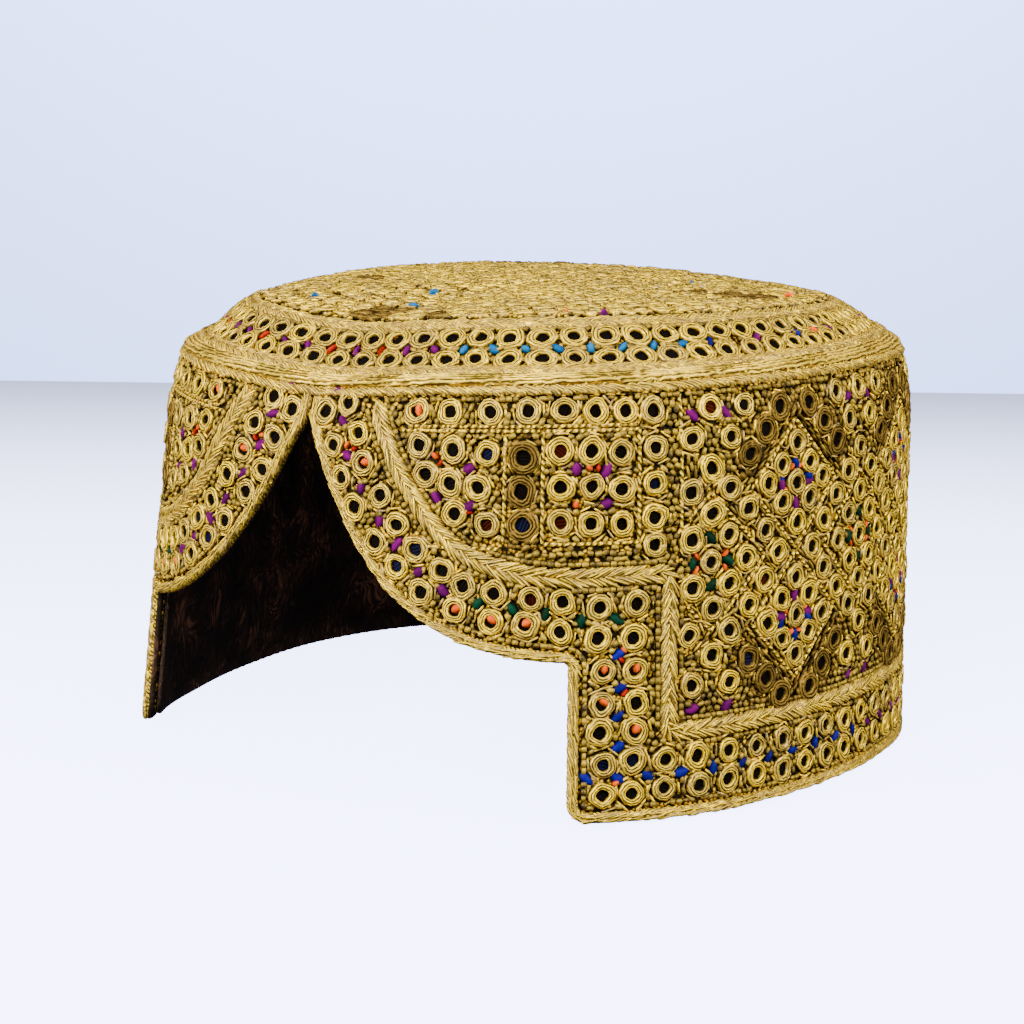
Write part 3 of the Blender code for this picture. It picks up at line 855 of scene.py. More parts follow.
def hand_wound(x, y):
    """Make each ring as uneven as hand winding does, its hole a little off the middle."""
    count = len(x)
    angle, reach = np.arctan2(y, x), np.hypot(x, y)
    full = reach.max(1, keepdims=True)
    wave = 1.0
    for lobes, most in ((2, 0.08), (3, 0.04), (4, 0.06)):
        size, start = chance.uniform(0, most, (count, 1)), chance.uniform(0, 6.3, (count, 1))
        wave = wave + size * np.cos(lobes * angle + start)
    drift, way = chance.uniform(0, 0.13, (count, 1)) * full, chance.uniform(0, 6.3, (count, 1))
    inner = 1 - reach / full
    wave = wave + chance.uniform(-0.035, 0.035, x.shape)
    return (
        reach * wave * np.cos(angle) + inner * drift * np.cos(way),
        reach * wave * np.sin(angle) + inner * drift * np.sin(way),
    )


def ring_sizes(count, half):
    size = half * chance.uniform(0.93, 1.07, count)
    turn = chance.uniform(0, 6.3, count)
    rise = RING_RISE * chance.uniform(0.88, 1.12, count)
    return np.stack([size, size, rise, turn, chance.uniform(-0.1, 0.3, count)], -1)


def show(piece, material):
    piece.data.materials.append(material)
    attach(piece, "root")


def show_rings(name, sizes, frames, material):
    show(sew(name, ring, sizes, frames, hand_wound, 0.14), material)


hem_steps = [HEM_START + HEM_PITCH * k for k in range(HEM_COUNT)]
hem_rings = [(s, 14.0) for s in hem_steps] + [(s, 7.0) for s in hem_steps]
gilt_spots = mirrored((*BORDER_RINGS, *PANEL_RINGS, *lattice(CELL_RINGS), *hem_rings))
gilt_spots = gilt_spots + chance.uniform(-0.3, 0.3, gilt_spots.shape) * MM
bronze_spots = mirrored(BRONZE_RINGS + lattice(CELL_BRONZE))
# Old thread that has lost its gilt: dull brown, a little metallic and lighter on its
# ridges; the near-black in its creases is painted shade.
bronze_thread = thread_material(
    "Tarnished bronze thread", ("#120c05", "#3a2c16", "#80622a"), 0.4, 0.5, 0.8, 0.05
)
for name, spots, half, material in (
    ("wall_rings", gilt_spots, RING_HALF, gilt_thread),
    ("bronze_rings", bronze_spots, BRONZE_RING_HALF, bronze_thread),
):
    show_rings(name, ring_sizes(len(spots), half), wall_seats(spots), material)

RING_ROW_SHARES = (0.874, 0.829)
BAND_RING_COUNT = 68
BAND_RING_HALF = 0.0029


def round_spots(share, count, start=0.0):
    """Even places round the crown at one share."""
    fine, _ = even_steps(ring_line(share), 0.0005, on_crown)
    at = (np.arange(count) + start) / count * (len(fine) - 1)
    return np.stack([np.interp(at, np.arange(len(fine)), fine[:, axis]) for axis in (0, 1)], -1)


band_spots = np.concatenate([round_spots(share, BAND_RING_COUNT) for share in RING_ROW_SHARES])
sizes = ring_sizes(len(band_spots), BAND_RING_HALF)
sizes[:, 0] *= 1.28
sizes[:, 1] *= 1.04
sizes[:, 3] = chance.uniform(-0.15, 0.15, len(band_spots))
show_rings("crown_rings", sizes, crown_seats(band_spots), gilt_thread)


# Rounds: the small patches of dark silk that show through the rings' holes, mostly
# black, some maroon or deep blue.

PATCH_HALF = 0.0019
CROWN_PATCH_HALF = 0.0016
PATCH_RISE = 0.0004


def model_round():
    """One patch: an eight-sided disc with its middle raised, a unit in radius."""
    bpy.ops.mesh.primitive_circle_add(vertices=8, radius=1.0, fill_type="TRIFAN")
    patch = bpy.context.object

    def dome(at):
        at[:, 2] += np.where(np.hypot(at[:, 0], at[:, 1]) < 0.1, 1.0, 0.55)
        return at

    shape(patch, dome)
    return patch


def silk(name, crease_shade, dark, light, roughness=0.5):
    """Silk floss or patch: soft sheen on a deep colour, a fine thread grain across it,
    with painted shade in the grain's creases.
    """
    return thread_material(name, (crease_shade, dark, light), 0.0, roughness, 0.5, 0.03, 0.00012)


black_silk = silk("Black silk patch", "#020203", "#030304", "#08080b", 0.75)
maroon_silk = silk("Maroon silk patch", "#120302", "#220806", "#380c07", 0.6)
navy_silk = silk("Navy silk patch", "#02030c", "#030618", "#060e30")
# The lay runs across each patch, so fine crease lines take the crease colour: painted shade.
patch = take(model_round(), lambda x, y, z: y * 2.5)

MAROON_HOLES = (
    (61, 51.7), (50.5, 68), (67.5, 68.5), (67, 84.5), (104, 92.5), (111, 74), (120, 52), (101, 25),
)
NAVY_HOLES = (
    (33.5, 61.5), (77.5, 14), (84.5, 14), (59, 68), (115, 34), (28.5, 57.5), (50.5, 84),
    (89.3, 76.5),
)


def from_front(along):
    """Lengths round the cap as the half turn either side of the front."""
    return (along + BACK) % GIRTH - BACK


def nearest(spots, marks):
    """For each spot, the distance to the nearest mark and which one it is."""
    best, which = np.full(len(spots), 9.0), np.zeros(len(spots), int)
    for start in range(0, len(spots), 2000):
        part = spots[start : start + 2000]
        gap = from_front(part[:, None, 0] - marks[None, :, 0])
        away = np.hypot(gap, part[:, None, 1] - marks[None, :, 1])
        which[start : start + 2000] = away.argmin(1)
        best[start : start + 2000] = away.min(1)
    return best, which


def patch_sizes(count, half):
    fixed = np.full((count, 3), (half, half, PATCH_RISE))
    turn, tone = chance.uniform(0, 3, count), chance.uniform(-0.3, 0.3, count)
    return np.column_stack([fixed, turn, tone])


holes = np.concatenate([gilt_spots, bronze_spots])
maroon, navy = (nearest(holes, mirrored(marks))[0] < 0.0015 for marks in (MAROON_HOLES, NAVY_HOLES))
for name, chosen, material in (
    ("black_patches", ~(maroon | navy), black_silk),
    ("maroon_patches", maroon, maroon_silk),
    ("navy_patches", navy, navy_silk),
):
    sizes = patch_sizes(chosen.sum(), PATCH_HALF)
    show(sew(name, patch, sizes, wall_seats(holes[chosen])), material)
sizes = patch_sizes(len(band_spots), CROWN_PATCH_HALF)
show(sew("crown_patches", patch, sizes, crown_seats(band_spots)), black_silk)


# Knots: bright silk floss worked in short satin stitches in the corners between four
# rings, about 3 mm across, and orange slivers inside some of the rings.

KNOT_RISE = 0.0011
PURPLE_KNOTS = (
    (7.5, 98), (11, 91), (13.5, 83), (18, 75.5), (23.5, 68), (28.5, 62.5), (34.5, 56.5),
    (40.5, 52.5), (46, 80.5), (38, 74), (46.5, 72), (71, 80.5), (78, 80), (78, 72.5),
)
GREEN_KNOTS = ((49, 50), (57, 49), (64.5, 48), (72.5, 46.5), (80.5, 46.5))
BLUE_KNOTS = (
    (81, 38.5), (81.5, 31), (81, 24.5), (81, 17.5), (74, 10.5), (81, 10.5), (88, 10.5),
)
ORANGE_KNOTS = (
    (9.5, 98.3), (13, 85.5), (37.5, 83.3), (74, 80.8), (71, 72.5), (82.3, 39.6), (80.7, 9.4),
)
RED_KNOTS = ((39, 81.7), (76, 80.6), (81.6, 37.4), (46.3, 70.6), (15.2, 84.6), (82.5, 29.8))
CELL_PURPLE = ((0, 10.5), (4.8, 15.3), (21.7, 33.2))
CELL_BLUE = ((0, 20.1), (4.8, 16.6))
CELL_GREEN = ((21.4, 0), (26.3, 5.3))
CELL_ORANGE = ((3.6, 13.9), (22.4, 1.6), (1.4, 19.2))
ORANGE_HOLES = (
    (43.5, 48), (52, 46), (60, 45.5), (77.5, 35), (85, 35), (77.5, 27.5), (85, 21), (32, 93),
    (18.5, 81),
)


def model_knot():
    """One knot: a ball pressed to a pad, squared a little, its foot cut flat."""
    knot = model_stitch("silk_knot", 8, 5, 0.8)
    shape(knot, lambda at: at * (1 + 0.12 * np.cos(4 * np.arctan2(at[:, 1:2], at[:, :1]))))
    return knot


# The lay runs across each knot, so its two long sides take the crease colour: painted shade at its
# edges.
knot = take(model_knot(), lambda x, y, z: y * 0.9 + 0.5)


def knot_sizes(count, size):
    length = size * (1.1 + chance.uniform(-0.18, 0.18, count))
    width = size * chance.uniform(0.8, 1.05, count)
    turn = chance.choice([pi / 4, -pi / 4, 0.2, 1.4], count) + chance.uniform(-0.3, 0.3, count)
    rise = KNOT_RISE * chance.uniform(0.85, 1.1, count)
    return np.stack([length, width, rise, turn, chance.uniform(-0.3, 0.4, count)], -1)


orange_silk = silk("Orange silk floss", "#5a1a02", "#9a3204", "#c4500c")
purple_silk = silk("Purple silk floss", "#18021e", "#300434", "#540250")
blue_silk = silk("Blue silk floss", "#03031e", "#080640", "#100e70")
green_silk = silk("Green silk floss", "#010a08", "#01130e", "#042a20")
red_silk = silk("Red silk floss", "#240303", "#5a0a04", "#94180a")
sky_silk = silk("Light blue silk floss", "#03162a", "#06305c", "#105288")

hem_knots = [(HEM_START + HEM_PITCH * (k + 0.5), 10.5) for k in range(HEM_COUNT)]
hem_blue = [spot for k, spot in enumerate(hem_knots) if k % 16 < 8]
hem_purple = [spot for k, spot in enumerate(hem_knots) if k % 16 >= 8]
knot_spots = []
for name, material, spots, size in (
    ("purple_knots", purple_silk, (*PURPLE_KNOTS, *lattice(CELL_PURPLE), *hem_purple), 0.0031),
    ("blue_knots", blue_silk, (*BLUE_KNOTS, *lattice(CELL_BLUE), *hem_blue), 0.0030),
    ("green_knots", green_silk, GREEN_KNOTS + lattice(CELL_GREEN), 0.0030),
    ("orange_knots", orange_silk, ORANGE_KNOTS + lattice(CELL_ORANGE), 0.0017),
    ("red_knots", red_silk, RED_KNOTS, 0.0016),
):
    spots = mirrored(spots)
    knot_spots.append(spots)
    show(sew(name, knot, knot_sizes(len(spots), size), wall_seats(spots)), material)
knot_spots = np.concatenate(knot_spots)
slivers = mirrored(ORANGE_HOLES) + np.array((0.0004, 0.0006))
sizes = knot_sizes(len(slivers), 0.0026)
show(sew("orange_slivers", knot, sizes, wall_seats(slivers)), orange_silk)

band_knots = round_spots(sum(RING_ROW_SHARES) / 2, BAND_RING_COUNT, 0.5)
past_front = from_front(band_knots[:, 0]) / MM
near, far = past_front < 40, past_front > 110
turns = np.arange(BAND_RING_COUNT)
for name, material, chosen in (
    ("crown_sky_knots", sky_silk, ~near & ~far),
    ("crown_blue_knots", blue_silk, far & (turns % 4 == 0)),
    ("crown_purple_knots", purple_silk, (near & (turns % 3 != 1)) | (far & (turns % 4 == 2))),
    ("crown_red_knots", red_silk, near & (turns % 3 == 1)),
    ("crown_orange_knots", orange_silk, far & (turns % 8 == 1)),
):
    sizes = knot_sizes(chosen.sum(), 0.0025)
    show(sew(name, knot, sizes, crown_seats(band_knots[chosen])), material)


def crown_marks(marks):
    """Rows of azimuth in degrees and share, as places on the crown's pattern."""
    azimuths, shares = np.array(marks).T
    return np.stack([np.interp(np.radians(azimuths), AZIMUTHS, LENGTHS), shares], -1)


for name, material, marks in (
    ("top_blue_slivers", sky_silk, ((345.6, 0.38), (358.7, 0.57), (333.7, 0.66), (132.5, 0.40))),
    ("top_purple_slivers", purple_silk, ((48.4, 0.76),)),
    ("top_orange_slivers", orange_silk, ((41.9, 0.71), (112.0, 0.68))),
):
    sizes = knot_sizes(len(marks), 0.0019) * (1.2, 0.8, 1.7, 1, 1)
    show(sew(name, knot, sizes, crown_seats(crown_marks(marks))), material)


# Laid cords: gilt thread laid along the pattern and couched down, round the blocks of
# rings, along the lattice's diagonals, and in rows over the crown's shoulder.

CORD_STEP = 0.0014
CORD_RISE = 0.0009
CORD_TONE = 0.12
PANEL_LOW, PANEL_HIGH = (97.5, 23.5), (BACK / MM - 0.5, 95.5)
SHOULDER_CORDS = (0.944, 0.957, 0.970, 0.982)


def cords(name, lines, frames, width, plies, twist):
    """Half-round cords along lines of the pattern, joined into one piece."""
    corners, loops, sizes, lay, start = [], [], [], [], 0
    turn = np.linspace(0, pi, 5)
    for line in lines:
        path, at = even_steps(line, CORD_STEP)
        place, _, _, outward = frames(path)
        aside = unit(np.cross(outward, np.gradient(place, axis=0)))
        wide = width * (1 + chance.uniform(-0.12, 0.12, len(path)))[:, None]
        rings = place[:, None] + aside[:, None] * (wide / 2 * np.cos(turn))[..., None]
        rise = CORD_RISE * np.sin(turn) * np.ones_like(wide)
        rings = rings + outward[:, None] * rise[..., None]
        *faces, face_sizes = skin(rings)
        loops += [part[::-1] + start for part in faces]
        sizes += face_sizes
        corners.append(rings.reshape(-1, 3))
        # Crease lines between the plies take the crease colour: painted shade between them.
        lay.append(((turn / pi - 0.5) * plies + at[:, None] / twist).ravel())
        start += len(corners[-1])
    lay, tone = np.concatenate(lay), np.full(start, CORD_TONE)
    return mesh_piece(name, np.concatenate(corners), np.concatenate(loops), sizes, lay, tone)


def box_lines(left, right, low, high):
    level = [((left, height), (right, height)) for height in (high, low)]
    return level + [((along, low), (along, high)) for along in (left, right)]


def diamond(along, height, reach):
    """The four sides of a diamond, clipped to the side panel."""
    points = ((-reach, 0), (0, reach), (reach, 0), (0, -reach), (-reach, 0))
    corners = np.array((along, height)) + points
    lines = []
    for start, end in zip(corners, corners[1:]):
        line = start + (end - start) * np.linspace(0, 1, 40)[:, None]
        line = line[((line > PANEL_LOW) & (line < PANEL_HIGH)).all(1)]
        if len(line) > 6:
            lines.append(line)
    return lines


half_lines = box_lines(63.4, 85.7, 63.7, 88.8) + [
    ((28, 88.9), (62.5, 88.9)), ((30, 89.9), (85, 89.9)), ((96.1, 60), (96.1, 95.8)),
    ((54.6, 64), (54.6, 88)), ((36, 62.5), (54, 62.5)),
]
for cell in CELLS:
    for way in (-15.3, 15.3):
        half_lines += diamond(cell_along(cell), CELL_MIDDLE[1] + way, 14.9 if cell < 3 else 13.4)
    half_lines += diamond(cell_along(cell + 1), CELL_MIDDLE[1], 15.8 if cell < 2 else 14.2)
wall_lines = [np.array(line) * (side * MM, MM) for side in (1, -1) for line in half_lines]
show(cords("wall_cords", wall_lines, wall_seats, 0.0010, 1, 0.0016), gilt_thread)
shoulder_cords = cords(
    "shoulder_cords", [ring_line(share) for share in SHOULDER_CORDS], crown_seats, 0.0015, 2.4, 0.03
)
show(shoulder_cords, gilt_thread)


# Grain stitches: short bars of coiled gilt thread that pack all the room between the
# rings, each about 1.8 by 1.3 mm, in rows beside the braids and round every ring.

GRAIN_LENGTH, GRAIN_WIDTH, GRAIN_RISE = 0.0018, 0.00134, 0.0010
GRAIN_PITCH = 0.00172
ROW_STEP = 0.0016
MARK_STEP = 0.0006
GRAIN_INSET = 0.0046  # the fill keeps this far from the cut-out's edge
SIDE_PANEL = 0.0975
STRAND_ROUNDS = 6


def row_beside(line, offset, spacing=ROW_STEP):
    """A row of places and runs, set off to one side of a pattern line."""
    path, _ = even_steps(line, spacing)
    ahead = unit(np.gradient(path, axis=0))
    moved = path + offset * np.stack([ahead[:, 1], -ahead[:, 0]], -1)
    return np.column_stack([moved, np.arctan2(ahead[:, 1], ahead[:, 0])])


rows = [row_beside(frame_path, offset) for offset in (0.0029, -0.0029)]
rows.append(row_beside(both_sides(free_edge(0.0039))[4:-4], 0.0))
under_top = np.arange(0.004, GIRTH - 0.004, ROW_STEP)
rows.append(np.column_stack([under_top, np.full(len(under_top), 0.0958), 0 * under_top]))
rows = np.concatenate(rows)
rows[:, 0] = from_front(rows[:, 0])
columns = np.arange(-BACK, BACK, GRAIN_PITCH)
levels = np.arange(0.0042, 0.0955, GRAIN_PITCH * 0.9)
grid = np.stack(np.meshgrid(columns, levels), -1)
grid[1::2, :, 0] += GRAIN_PITCH / 2
grid = grid.reshape(-1, 2) + chance.uniform(-0.00032, 0.00032, (grid.size // 2, 2))
edge_at = arch_line(GRAIN_INSET)
arch_at = np.interp(np.abs(grid[:, 0]), edge_at[:, 0], edge_at[:, 1])
over_opening = np.abs(grid[:, 0]) < OPENING_HALF_WIDTH + GRAIN_INSET
floor_at = np.where(over_opening, np.maximum(arch_at, STEP_HEIGHT + GRAIN_INSET), 0.0)
grid = grid[grid[:, 1] > floor_at]
cord_marks = np.concatenate([row_beside(line, 0.0, MARK_STEP) for line in wall_lines])
frame_marks, _ = even_steps(frame_path, MARK_STEP)


def clear_of(spots, *things):
    """Whether each spot is further than a gap from every mark of each thing."""
    return np.all([nearest(spots, marks)[0] > gap for marks, gap in things], 0)


laid_round = ((knot_spots, 0.0013), (frame_marks, 0.0027), (cord_marks, 0.0008))
rows = rows[clear_of(rows, (holes, 0.0036), *laid_round) & (rows[:, 1] < 0.0962)]
grid = grid[clear_of(grid, (holes, 0.0037), *laid_round)]
grid = grid[clear_of(grid, (rows, 0.0011))]
spoke = grid - holes[nearest(grid, holes)[1]]
grid_turn = np.arctan2(spoke[:, 1], from_front(spoke[:, 0])) + pi / 2
grid_turn += chance.uniform(-0.3, 0.3, len(grid))
cord_away, cord_mark = nearest(grid, cord_marks)
laid = (cord_away < 0.0034) & (np.abs(grid[:, 0]) > SIDE_PANEL)
grid_turn[laid] = cord_marks[cord_mark[laid], 2]
grains = np.concatenate([rows, np.column_stack([grid, grid_turn])])
laid = np.concatenate([np.zeros(len(rows), bool), laid])
tarnished = nearest(grains, bronze_spots)[0] < 0.0054


def model_bar():
    """One short bar of coiled thread: a block rounded over, its foot cut flat."""
    bpy.ops.mesh.primitive_cube_add(size=1.0)
    bar = bpy.context.object
    bar.name = bar.data.name = "gilt_bar"
    bpy.ops.object.mode_set(mode="EDIT")
    bpy.ops.mesh.select_all(action="SELECT")
    bpy.ops.mesh.subdivide(number_cuts=1)
    bpy.ops.mesh.bisect(plane_co=(0, 0, 0), plane_no=(0, 0, 1), clear_inner=True, use_fill=True)
    bpy.ops.object.mode_set(mode="OBJECT")

    def round_over(at):
        at = at * 2
        return at / np.maximum((at**4).sum(-1, keepdims=True) ** 0.25, 1e-6) * (0.5, 0.5, 1.0)

    shape(bar, round_over)
    return bar


# The lay rises from a bar's foot to its top, so the foot takes its thread's crease colour: painted
# shade where the bar meets the ground.
grain = take(model_bar(), lambda x, y, z: 0.36 * z)
# The same gilt thread coiled tight and trodden down: it has lost some of its shine, so
# the fill is browner than the rings and braids. It is dark between its bars because each
# bar's foot takes the crease colour: painted shade.
coiled_thread = thread_material(
    "Gilt thread coiled and dulled", ("#0c0906", "#3c3024", "#a8882e"), 0.4, 0.5, 0.1, 0.03
)


def grain_sizes(turn):
    count = len(turn)
    return np.stack(
        [
            GRAIN_LENGTH * chance.uniform(0.75, 1.2, count),
            GRAIN_WIDTH * chance.uniform(0.75, 1.15, count),
            GRAIN_RISE * chance.uniform(0.75, 1.3, count),
            turn + chance.uniform(-0.15, 0.15, count),
            chance.uniform(-0.35, 0.35, count),
        ],
        -1,
    )


in_front = np.abs(grains[:, 0]) < BACK / 2
for name, part, material in (
    ("wall_grains_front", in_front & ~tarnished, coiled_thread),
    ("wall_grains_back", ~in_front & ~tarnished, coiled_thread),
    ("wall_bronze_grains", tarnished, bronze_thread),
):
    sizes = grain_sizes(grains[part, 2])
    sizes[laid[part], :2] *= (1.7, 0.55)
    show(sew(name, grain, sizes, wall_seats(grains[part, :2])), material)

strands = []
for step in range(STRAND_ROUNDS):
    angle = step * pi / 3 + chance.uniform(-0.4, 0.4, len(holes))
    reach = RING_HALF * chance.uniform(1.06, 1.2, len(holes))
    around = holes + reach[:, None] * np.stack([np.cos(angle), np.sin(angle)], -1)
    strands.append(np.column_stack([around, angle + pi / 2]))
strands = np.concatenate(strands)
strands = strands[(strands[:, 1] > 0.0032) & (strands[:, 1] < 0.0955)]
strands = strands[clear_of(strands, (frame_marks, 0.0024), (knot_spots, 0.0013))]
sizes = grain_sizes(strands[:, 2])
sizes[:, :3] *= (1.9, 0.45, 0.85)
show(sew("wall_strands", grain, sizes, wall_seats(strands[:, :2])), gilt_thread)


# Crown grains: the same bars on the crown, between its rings and in rows beside its
# braids, and packed all over the flat top, where rings and bars of bronze make patches.

BAND_ROW_SHARES = (0.852, 0.8935, 0.8105)
# Azimuth in degrees, share of the radius and reach of each patch
BRONZE_PATCHES = (
    (358, 0.69, 0.0075), (15, 0.74, 0.003), (101, 0.60, 0.0075), (98, 0.45, 0.004),
    (212, 0.70, 0.006), (227, 0.70, 0.006), (290, 0.55, 0.006),
)
# Share of the radius and number of rings
TOP_RING_ROWS = (
    (0.715, 76), (0.635, 68), (0.555, 58), (0.475, 50), (0.395, 42), (0.315, 34), (0.235, 25),
    (0.155, 16), (0.075, 8),
)
TOP_RING_HALF = 0.0030
TOP_BRONZE_HALF = 0.0031
TOP_REACH = 0.765
TOP_COLUMN, TOP_ROW = 0.00150, 0.00140
LEFT_OUT = 0.16
# Share of the top's bars darkened as painted shade
SHADE_SPECK_SHARE = 0.22

band_fill = [round_spots(share, int(GIRTH * share / ROW_STEP)) for share in BAND_ROW_SHARES]
for share in RING_ROW_SHARES:
    band_fill += [round_spots(share, BAND_RING_COUNT, offset) for offset in (0.42, 0.5, 0.58)]
band_fill = np.concatenate(band_fill)
knot_gap = np.abs(band_fill[:, None, 0] - band_knots[None, :, 0])
knot_gap = np.minimum(knot_gap, GIRTH - knot_gap).min(1)
band_fill = band_fill[(knot_gap > 0.0016) | (np.abs(band_fill[:, 1] - 0.8515) > 0.01)]
sizes = grain_sizes(chance.uniform(-0.6, 0.6, len(band_fill)))
piece = sew("crown_band_grains", grain, sizes, crown_seats(band_fill))
show(piece, coiled_thread)

patch_middles = on_crown(*crown_marks([mark[:2] for mark in BRONZE_PATCHES]).T)
patch_reaches = np.array([reach for _, _, reach in BRONZE_PATCHES])


def apart(spots, middles):
    """Distances, seen from above, from spots on the crown to each of the middles."""
    places = on_crown(*spots.T)
    return np.stack([np.hypot(*(places[:, :2] - middle[:2]).T) for middle in middles], -1)


top_rings = np.concatenate(
    [round_spots(share, count, 0.5 * (count % 4 == 2)) for share, count in TOP_RING_ROWS]
)
dulled = (apart(top_rings, patch_middles) < patch_reaches).any(1)
for name, part, half, material in (
    ("top_rings", ~dulled, TOP_RING_HALF, gilt_thread),
    ("top_bronze_rings", dulled, TOP_BRONZE_HALF, bronze_thread),
):
    sizes = ring_sizes(part.sum(), half)
    show_rings(name, sizes, crown_seats(top_rings[part]), material)

plan = np.stack(
    np.meshgrid(np.arange(-0.098, 0.098, TOP_COLUMN), np.arange(-0.098, 0.098, TOP_ROW)), -1
)
plan[1::2, :, 0] += 0.0008
plan = plan.reshape(-1, 2) + chance.uniform(-0.0003, 0.0003, (plan.size // 2, 2))
azimuth = np.arctan2(plan[:, 0], -plan[:, 1]) % (2 * pi)
share = np.hypot(plan[:, 0], plan[:, 1]) / (CAP_RADIUS * outline(RADIUS, azimuth))
top_fill = np.stack([np.interp(azimuth, AZIMUTHS, LENGTHS), share], -1)
top_fill = top_fill[(share < TOP_REACH) & (share > 0.01)]
away = apart(top_fill, on_crown(*top_rings.T)).min(1)
top_fill = top_fill[(away > 0.0031) & (chance.random(len(top_fill)) > LEFT_OUT)]
sizes = grain_sizes(chance.uniform(-1.6, 1.6, len(top_fill)))
sizes[::2, :3] *= (1.55, 0.5, 1.15)
sizes[1::2, :3] *= (0.9, 0.8, 0.85)
dulled = (apart(top_fill, patch_middles) < patch_reaches).any(1)
# A share of the top's bars, picked at random, take the darker coiled thread as painted shade: dark
# specks that stand in for shadows in the deep gaps between the bars.
shade_specks = ~dulled & (chance.random(len(top_fill)) < SHADE_SPECK_SHARE)
for name, part, material in (
    ("top_grains", ~dulled & ~shade_specks, gilt_thread),
    ("top_shade_speck_grains", shade_specks, coiled_thread),
    ("top_bronze_grains", dulled, bronze_thread),
):
    show(sew(name, grain, sizes[part], crown_seats(top_fill[part])), material)


# Stage: a pale floor that runs back to a pale bluish wall behind the cap. Both carry
# painted light: they glow brightest at their middles, and the floor's glow all but hides
# the cap's shadow on it.

HORIZON = 0.70  # from the cap to the wall, along the view
PAPER_HALF_WIDTH = 6.0
WALL_TOP = 4.0
UNDER_HEM = -0.0002
VIEW_AZIMUTH, VIEW_ELEVATION, VIEW_ROLL = 0.6819, 0.1748, 0.0132
VIEW_ASIDE, VIEW_UP, VIEW_DISTANCE, VIEW_LENS = 0.0077985, -0.0523402, 0.62794, 83.16

level = Vector((np.cos(VIEW_AZIMUTH), np.sin(VIEW_AZIMUTH), 0))
ground_back = Vector((-np.sin(VIEW_AZIMUTH), np.cos(VIEW_AZIMUTH), 0))
back = Vector(
    (
        np.sin(VIEW_AZIMUTH) * np.cos(VIEW_ELEVATION),
        -np.cos(VIEW_AZIMUTH) * np.cos(VIEW_ELEVATION),
        np.sin(VIEW_ELEVATION),
    )
)


def glowing_paper(name, base, glow, centre, reach, strengths):
    """Matt paper with painted light: it glows brightest at its centre and dimmer with the distance.
    """
    made, tree, where = new_material(name)
    away = add(tree, "VectorMath", {"operation": "DISTANCE", 1: centre}, {0: where})
    span = {1: reach[0], 2: reach[1], 3: strengths[0], 4: strengths[1]}
    span["interpolation_type"] = "SMOOTHSTEP"
    power = add(tree, "MapRange", span, {0: away.outputs["Value"]})
    matt = {"Base Color": tint(base), "Roughness": 0.95, "Specular IOR Level": 0.0}
    coat(tree, {**matt, "Emission Color": tint(glow)}, {"Emission Strength": power})
    return made


def hang_paper(name, paper, place):
    """A sheet of paper that only the camera sees; place gives its way back and its height."""
    bpy.ops.mesh.primitive_plane_add(size=2.0)
    sheet = bpy.context.object
    sheet.name = sheet.data.name = name

    def spread_out(at):
        behind, height = place(at[:, 1] > 0)
        spot = at[:, :1] * PAPER_HALF_WIDTH * np.array(level) + behind * np.array(ground_back)
        spot[:, 2] = height
        return spot

    shape(sheet, spread_out)
    sheet.data.materials.append(paper)
    sheet.visible_diffuse = sheet.visible_glossy = False
    return sheet


floor_middle = tuple(-2.0 * ground_back)
floor_paper = glowing_paper(
    "White background paper", "#76839c", "#c9ceff", floor_middle, (1.9, 2.78), (9.4, 0.75)
)
wall_middle = tuple(HORIZON * ground_back + Vector((0, 0, 0.55)))
wall_paper = glowing_paper(
    "Pale blue background paper", "#40444c", "#a3b9ff", wall_middle, (0.1, 0.8), (7.6, 3.4)
)
floor = hang_paper(
    "studio_floor", floor_paper, lambda far: (np.where(far, HORIZON, -6.0)[:, None], UNDER_HEM)
)
backdrop = hang_paper(
    "studio_wall", wall_paper, lambda high: (HORIZON, np.where(high, WALL_TOP, UNDER_HEM))
)


# Light: a large soft box above and in front, a weaker one from each side, and an even
# pale room, so the thread glints without hard shadows.

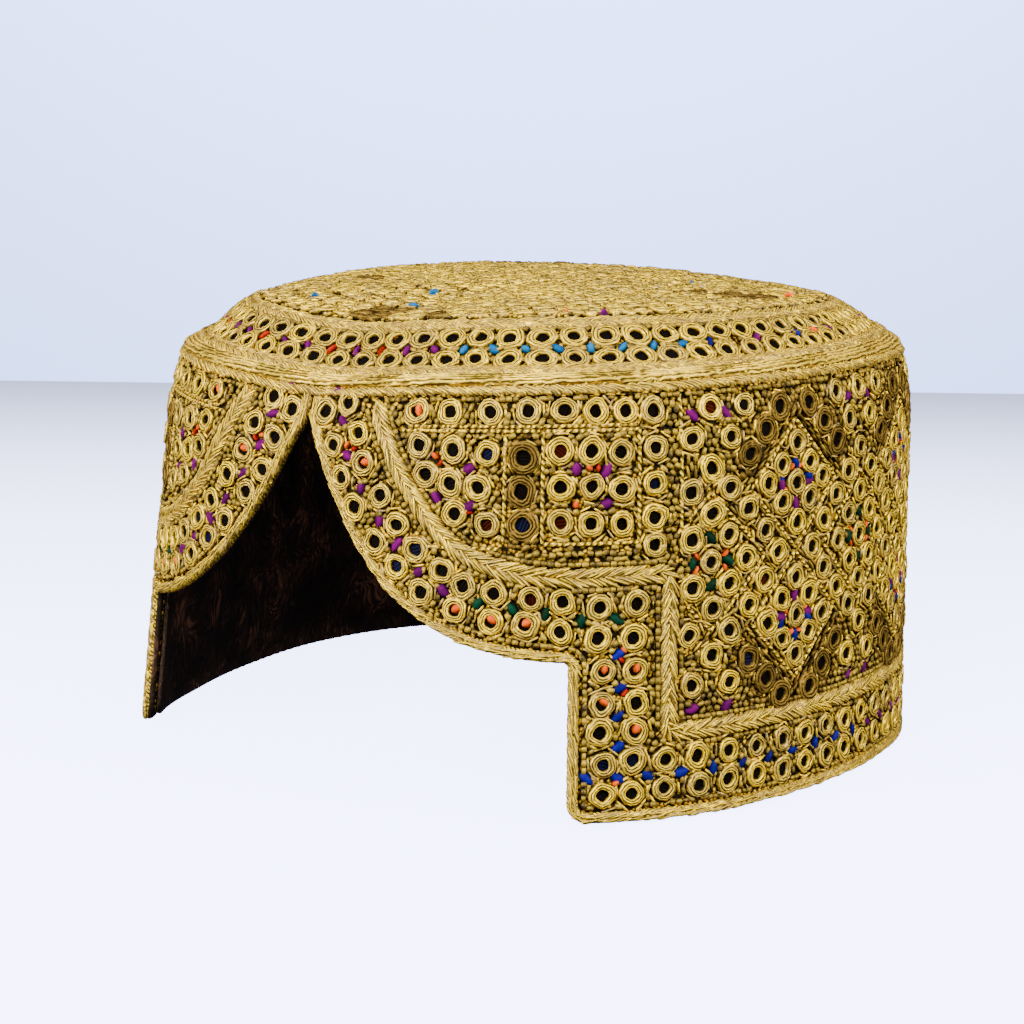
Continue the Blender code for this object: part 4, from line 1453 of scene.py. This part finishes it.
ROOM_LOW, ROOM_HIGH = 0.25, 0.6
WARM_WHITE = (0.95, 0.985, 0.78)
AIM = Vector((0, 0, 0.05))


def soft_box(name, place, size, power):
    lamp = bpy.data.lights.new(name, "AREA")
    lamp.shape = "SQUARE"
    lamp.size = size
    lamp.energy = power
    lamp.color = WARM_WHITE
    holder = bpy.data.objects.new(name, lamp)
    bpy.context.collection.objects.link(holder)
    holder.location = place
    holder.rotation_euler = (AIM - Vector(place)).to_track_quat("-Z", "Y").to_euler()


soft_box("key_box", AIM + 1.2 * back - 0.5 * level + Vector((0, 0, 1.0)), 0.6, 66)
soft_box("top_box", (0.1, 0.1, 1.5), 0.8, 13.5)
soft_box("right_box", AIM + 0.6 * back + 1.1 * level + Vector((0, 0, 0.4)), 0.5, 47)
soft_box("left_box", AIM + 0.7 * back - 1.2 * level + Vector((0, 0, 0.3)), 0.5, 57)
room = bpy.data.worlds.new("Pale studio room")
room.use_nodes = True
tree = room.node_tree
tree.nodes.clear()
height = add(tree, "SeparateXYZ", links={0: add(tree, "TexCoord").outputs["Generated"]})
glow = {1: -0.3, 2: 0.8, 3: ROOM_LOW, 4: ROOM_HIGH}
glow = add(tree, "MapRange", glow, {0: height.outputs["Z"]})
sky = add(tree, "Background", {"Color": tint("#eef2fb")}, {"Strength": glow})
add(tree, "OutputWorld", links={"Surface": sky})
bpy.context.scene.world = room


# Camera: at the photograph's view, from the front right and a little above.

raised = back.cross(level)
right = np.cos(VIEW_ROLL) * level + np.sin(VIEW_ROLL) * raised
above = np.cos(VIEW_ROLL) * raised - np.sin(VIEW_ROLL) * level
lens = bpy.data.cameras.new("view")
lens.lens = VIEW_LENS
lens.sensor_width = 36.0
lens.clip_start = 0.01
lens.clip_end = 50.0
camera = bpy.data.objects.new("view", lens)
bpy.context.collection.objects.link(camera)
centre = -VIEW_ASIDE * right - VIEW_UP * above + VIEW_DISTANCE * back
turned_to = Matrix((right, above, back)).transposed().to_4x4()
camera.matrix_world = Matrix.Translation(centre + Vector((*MIDDLE, 0))) @ turned_to
bpy.context.scene.camera = camera
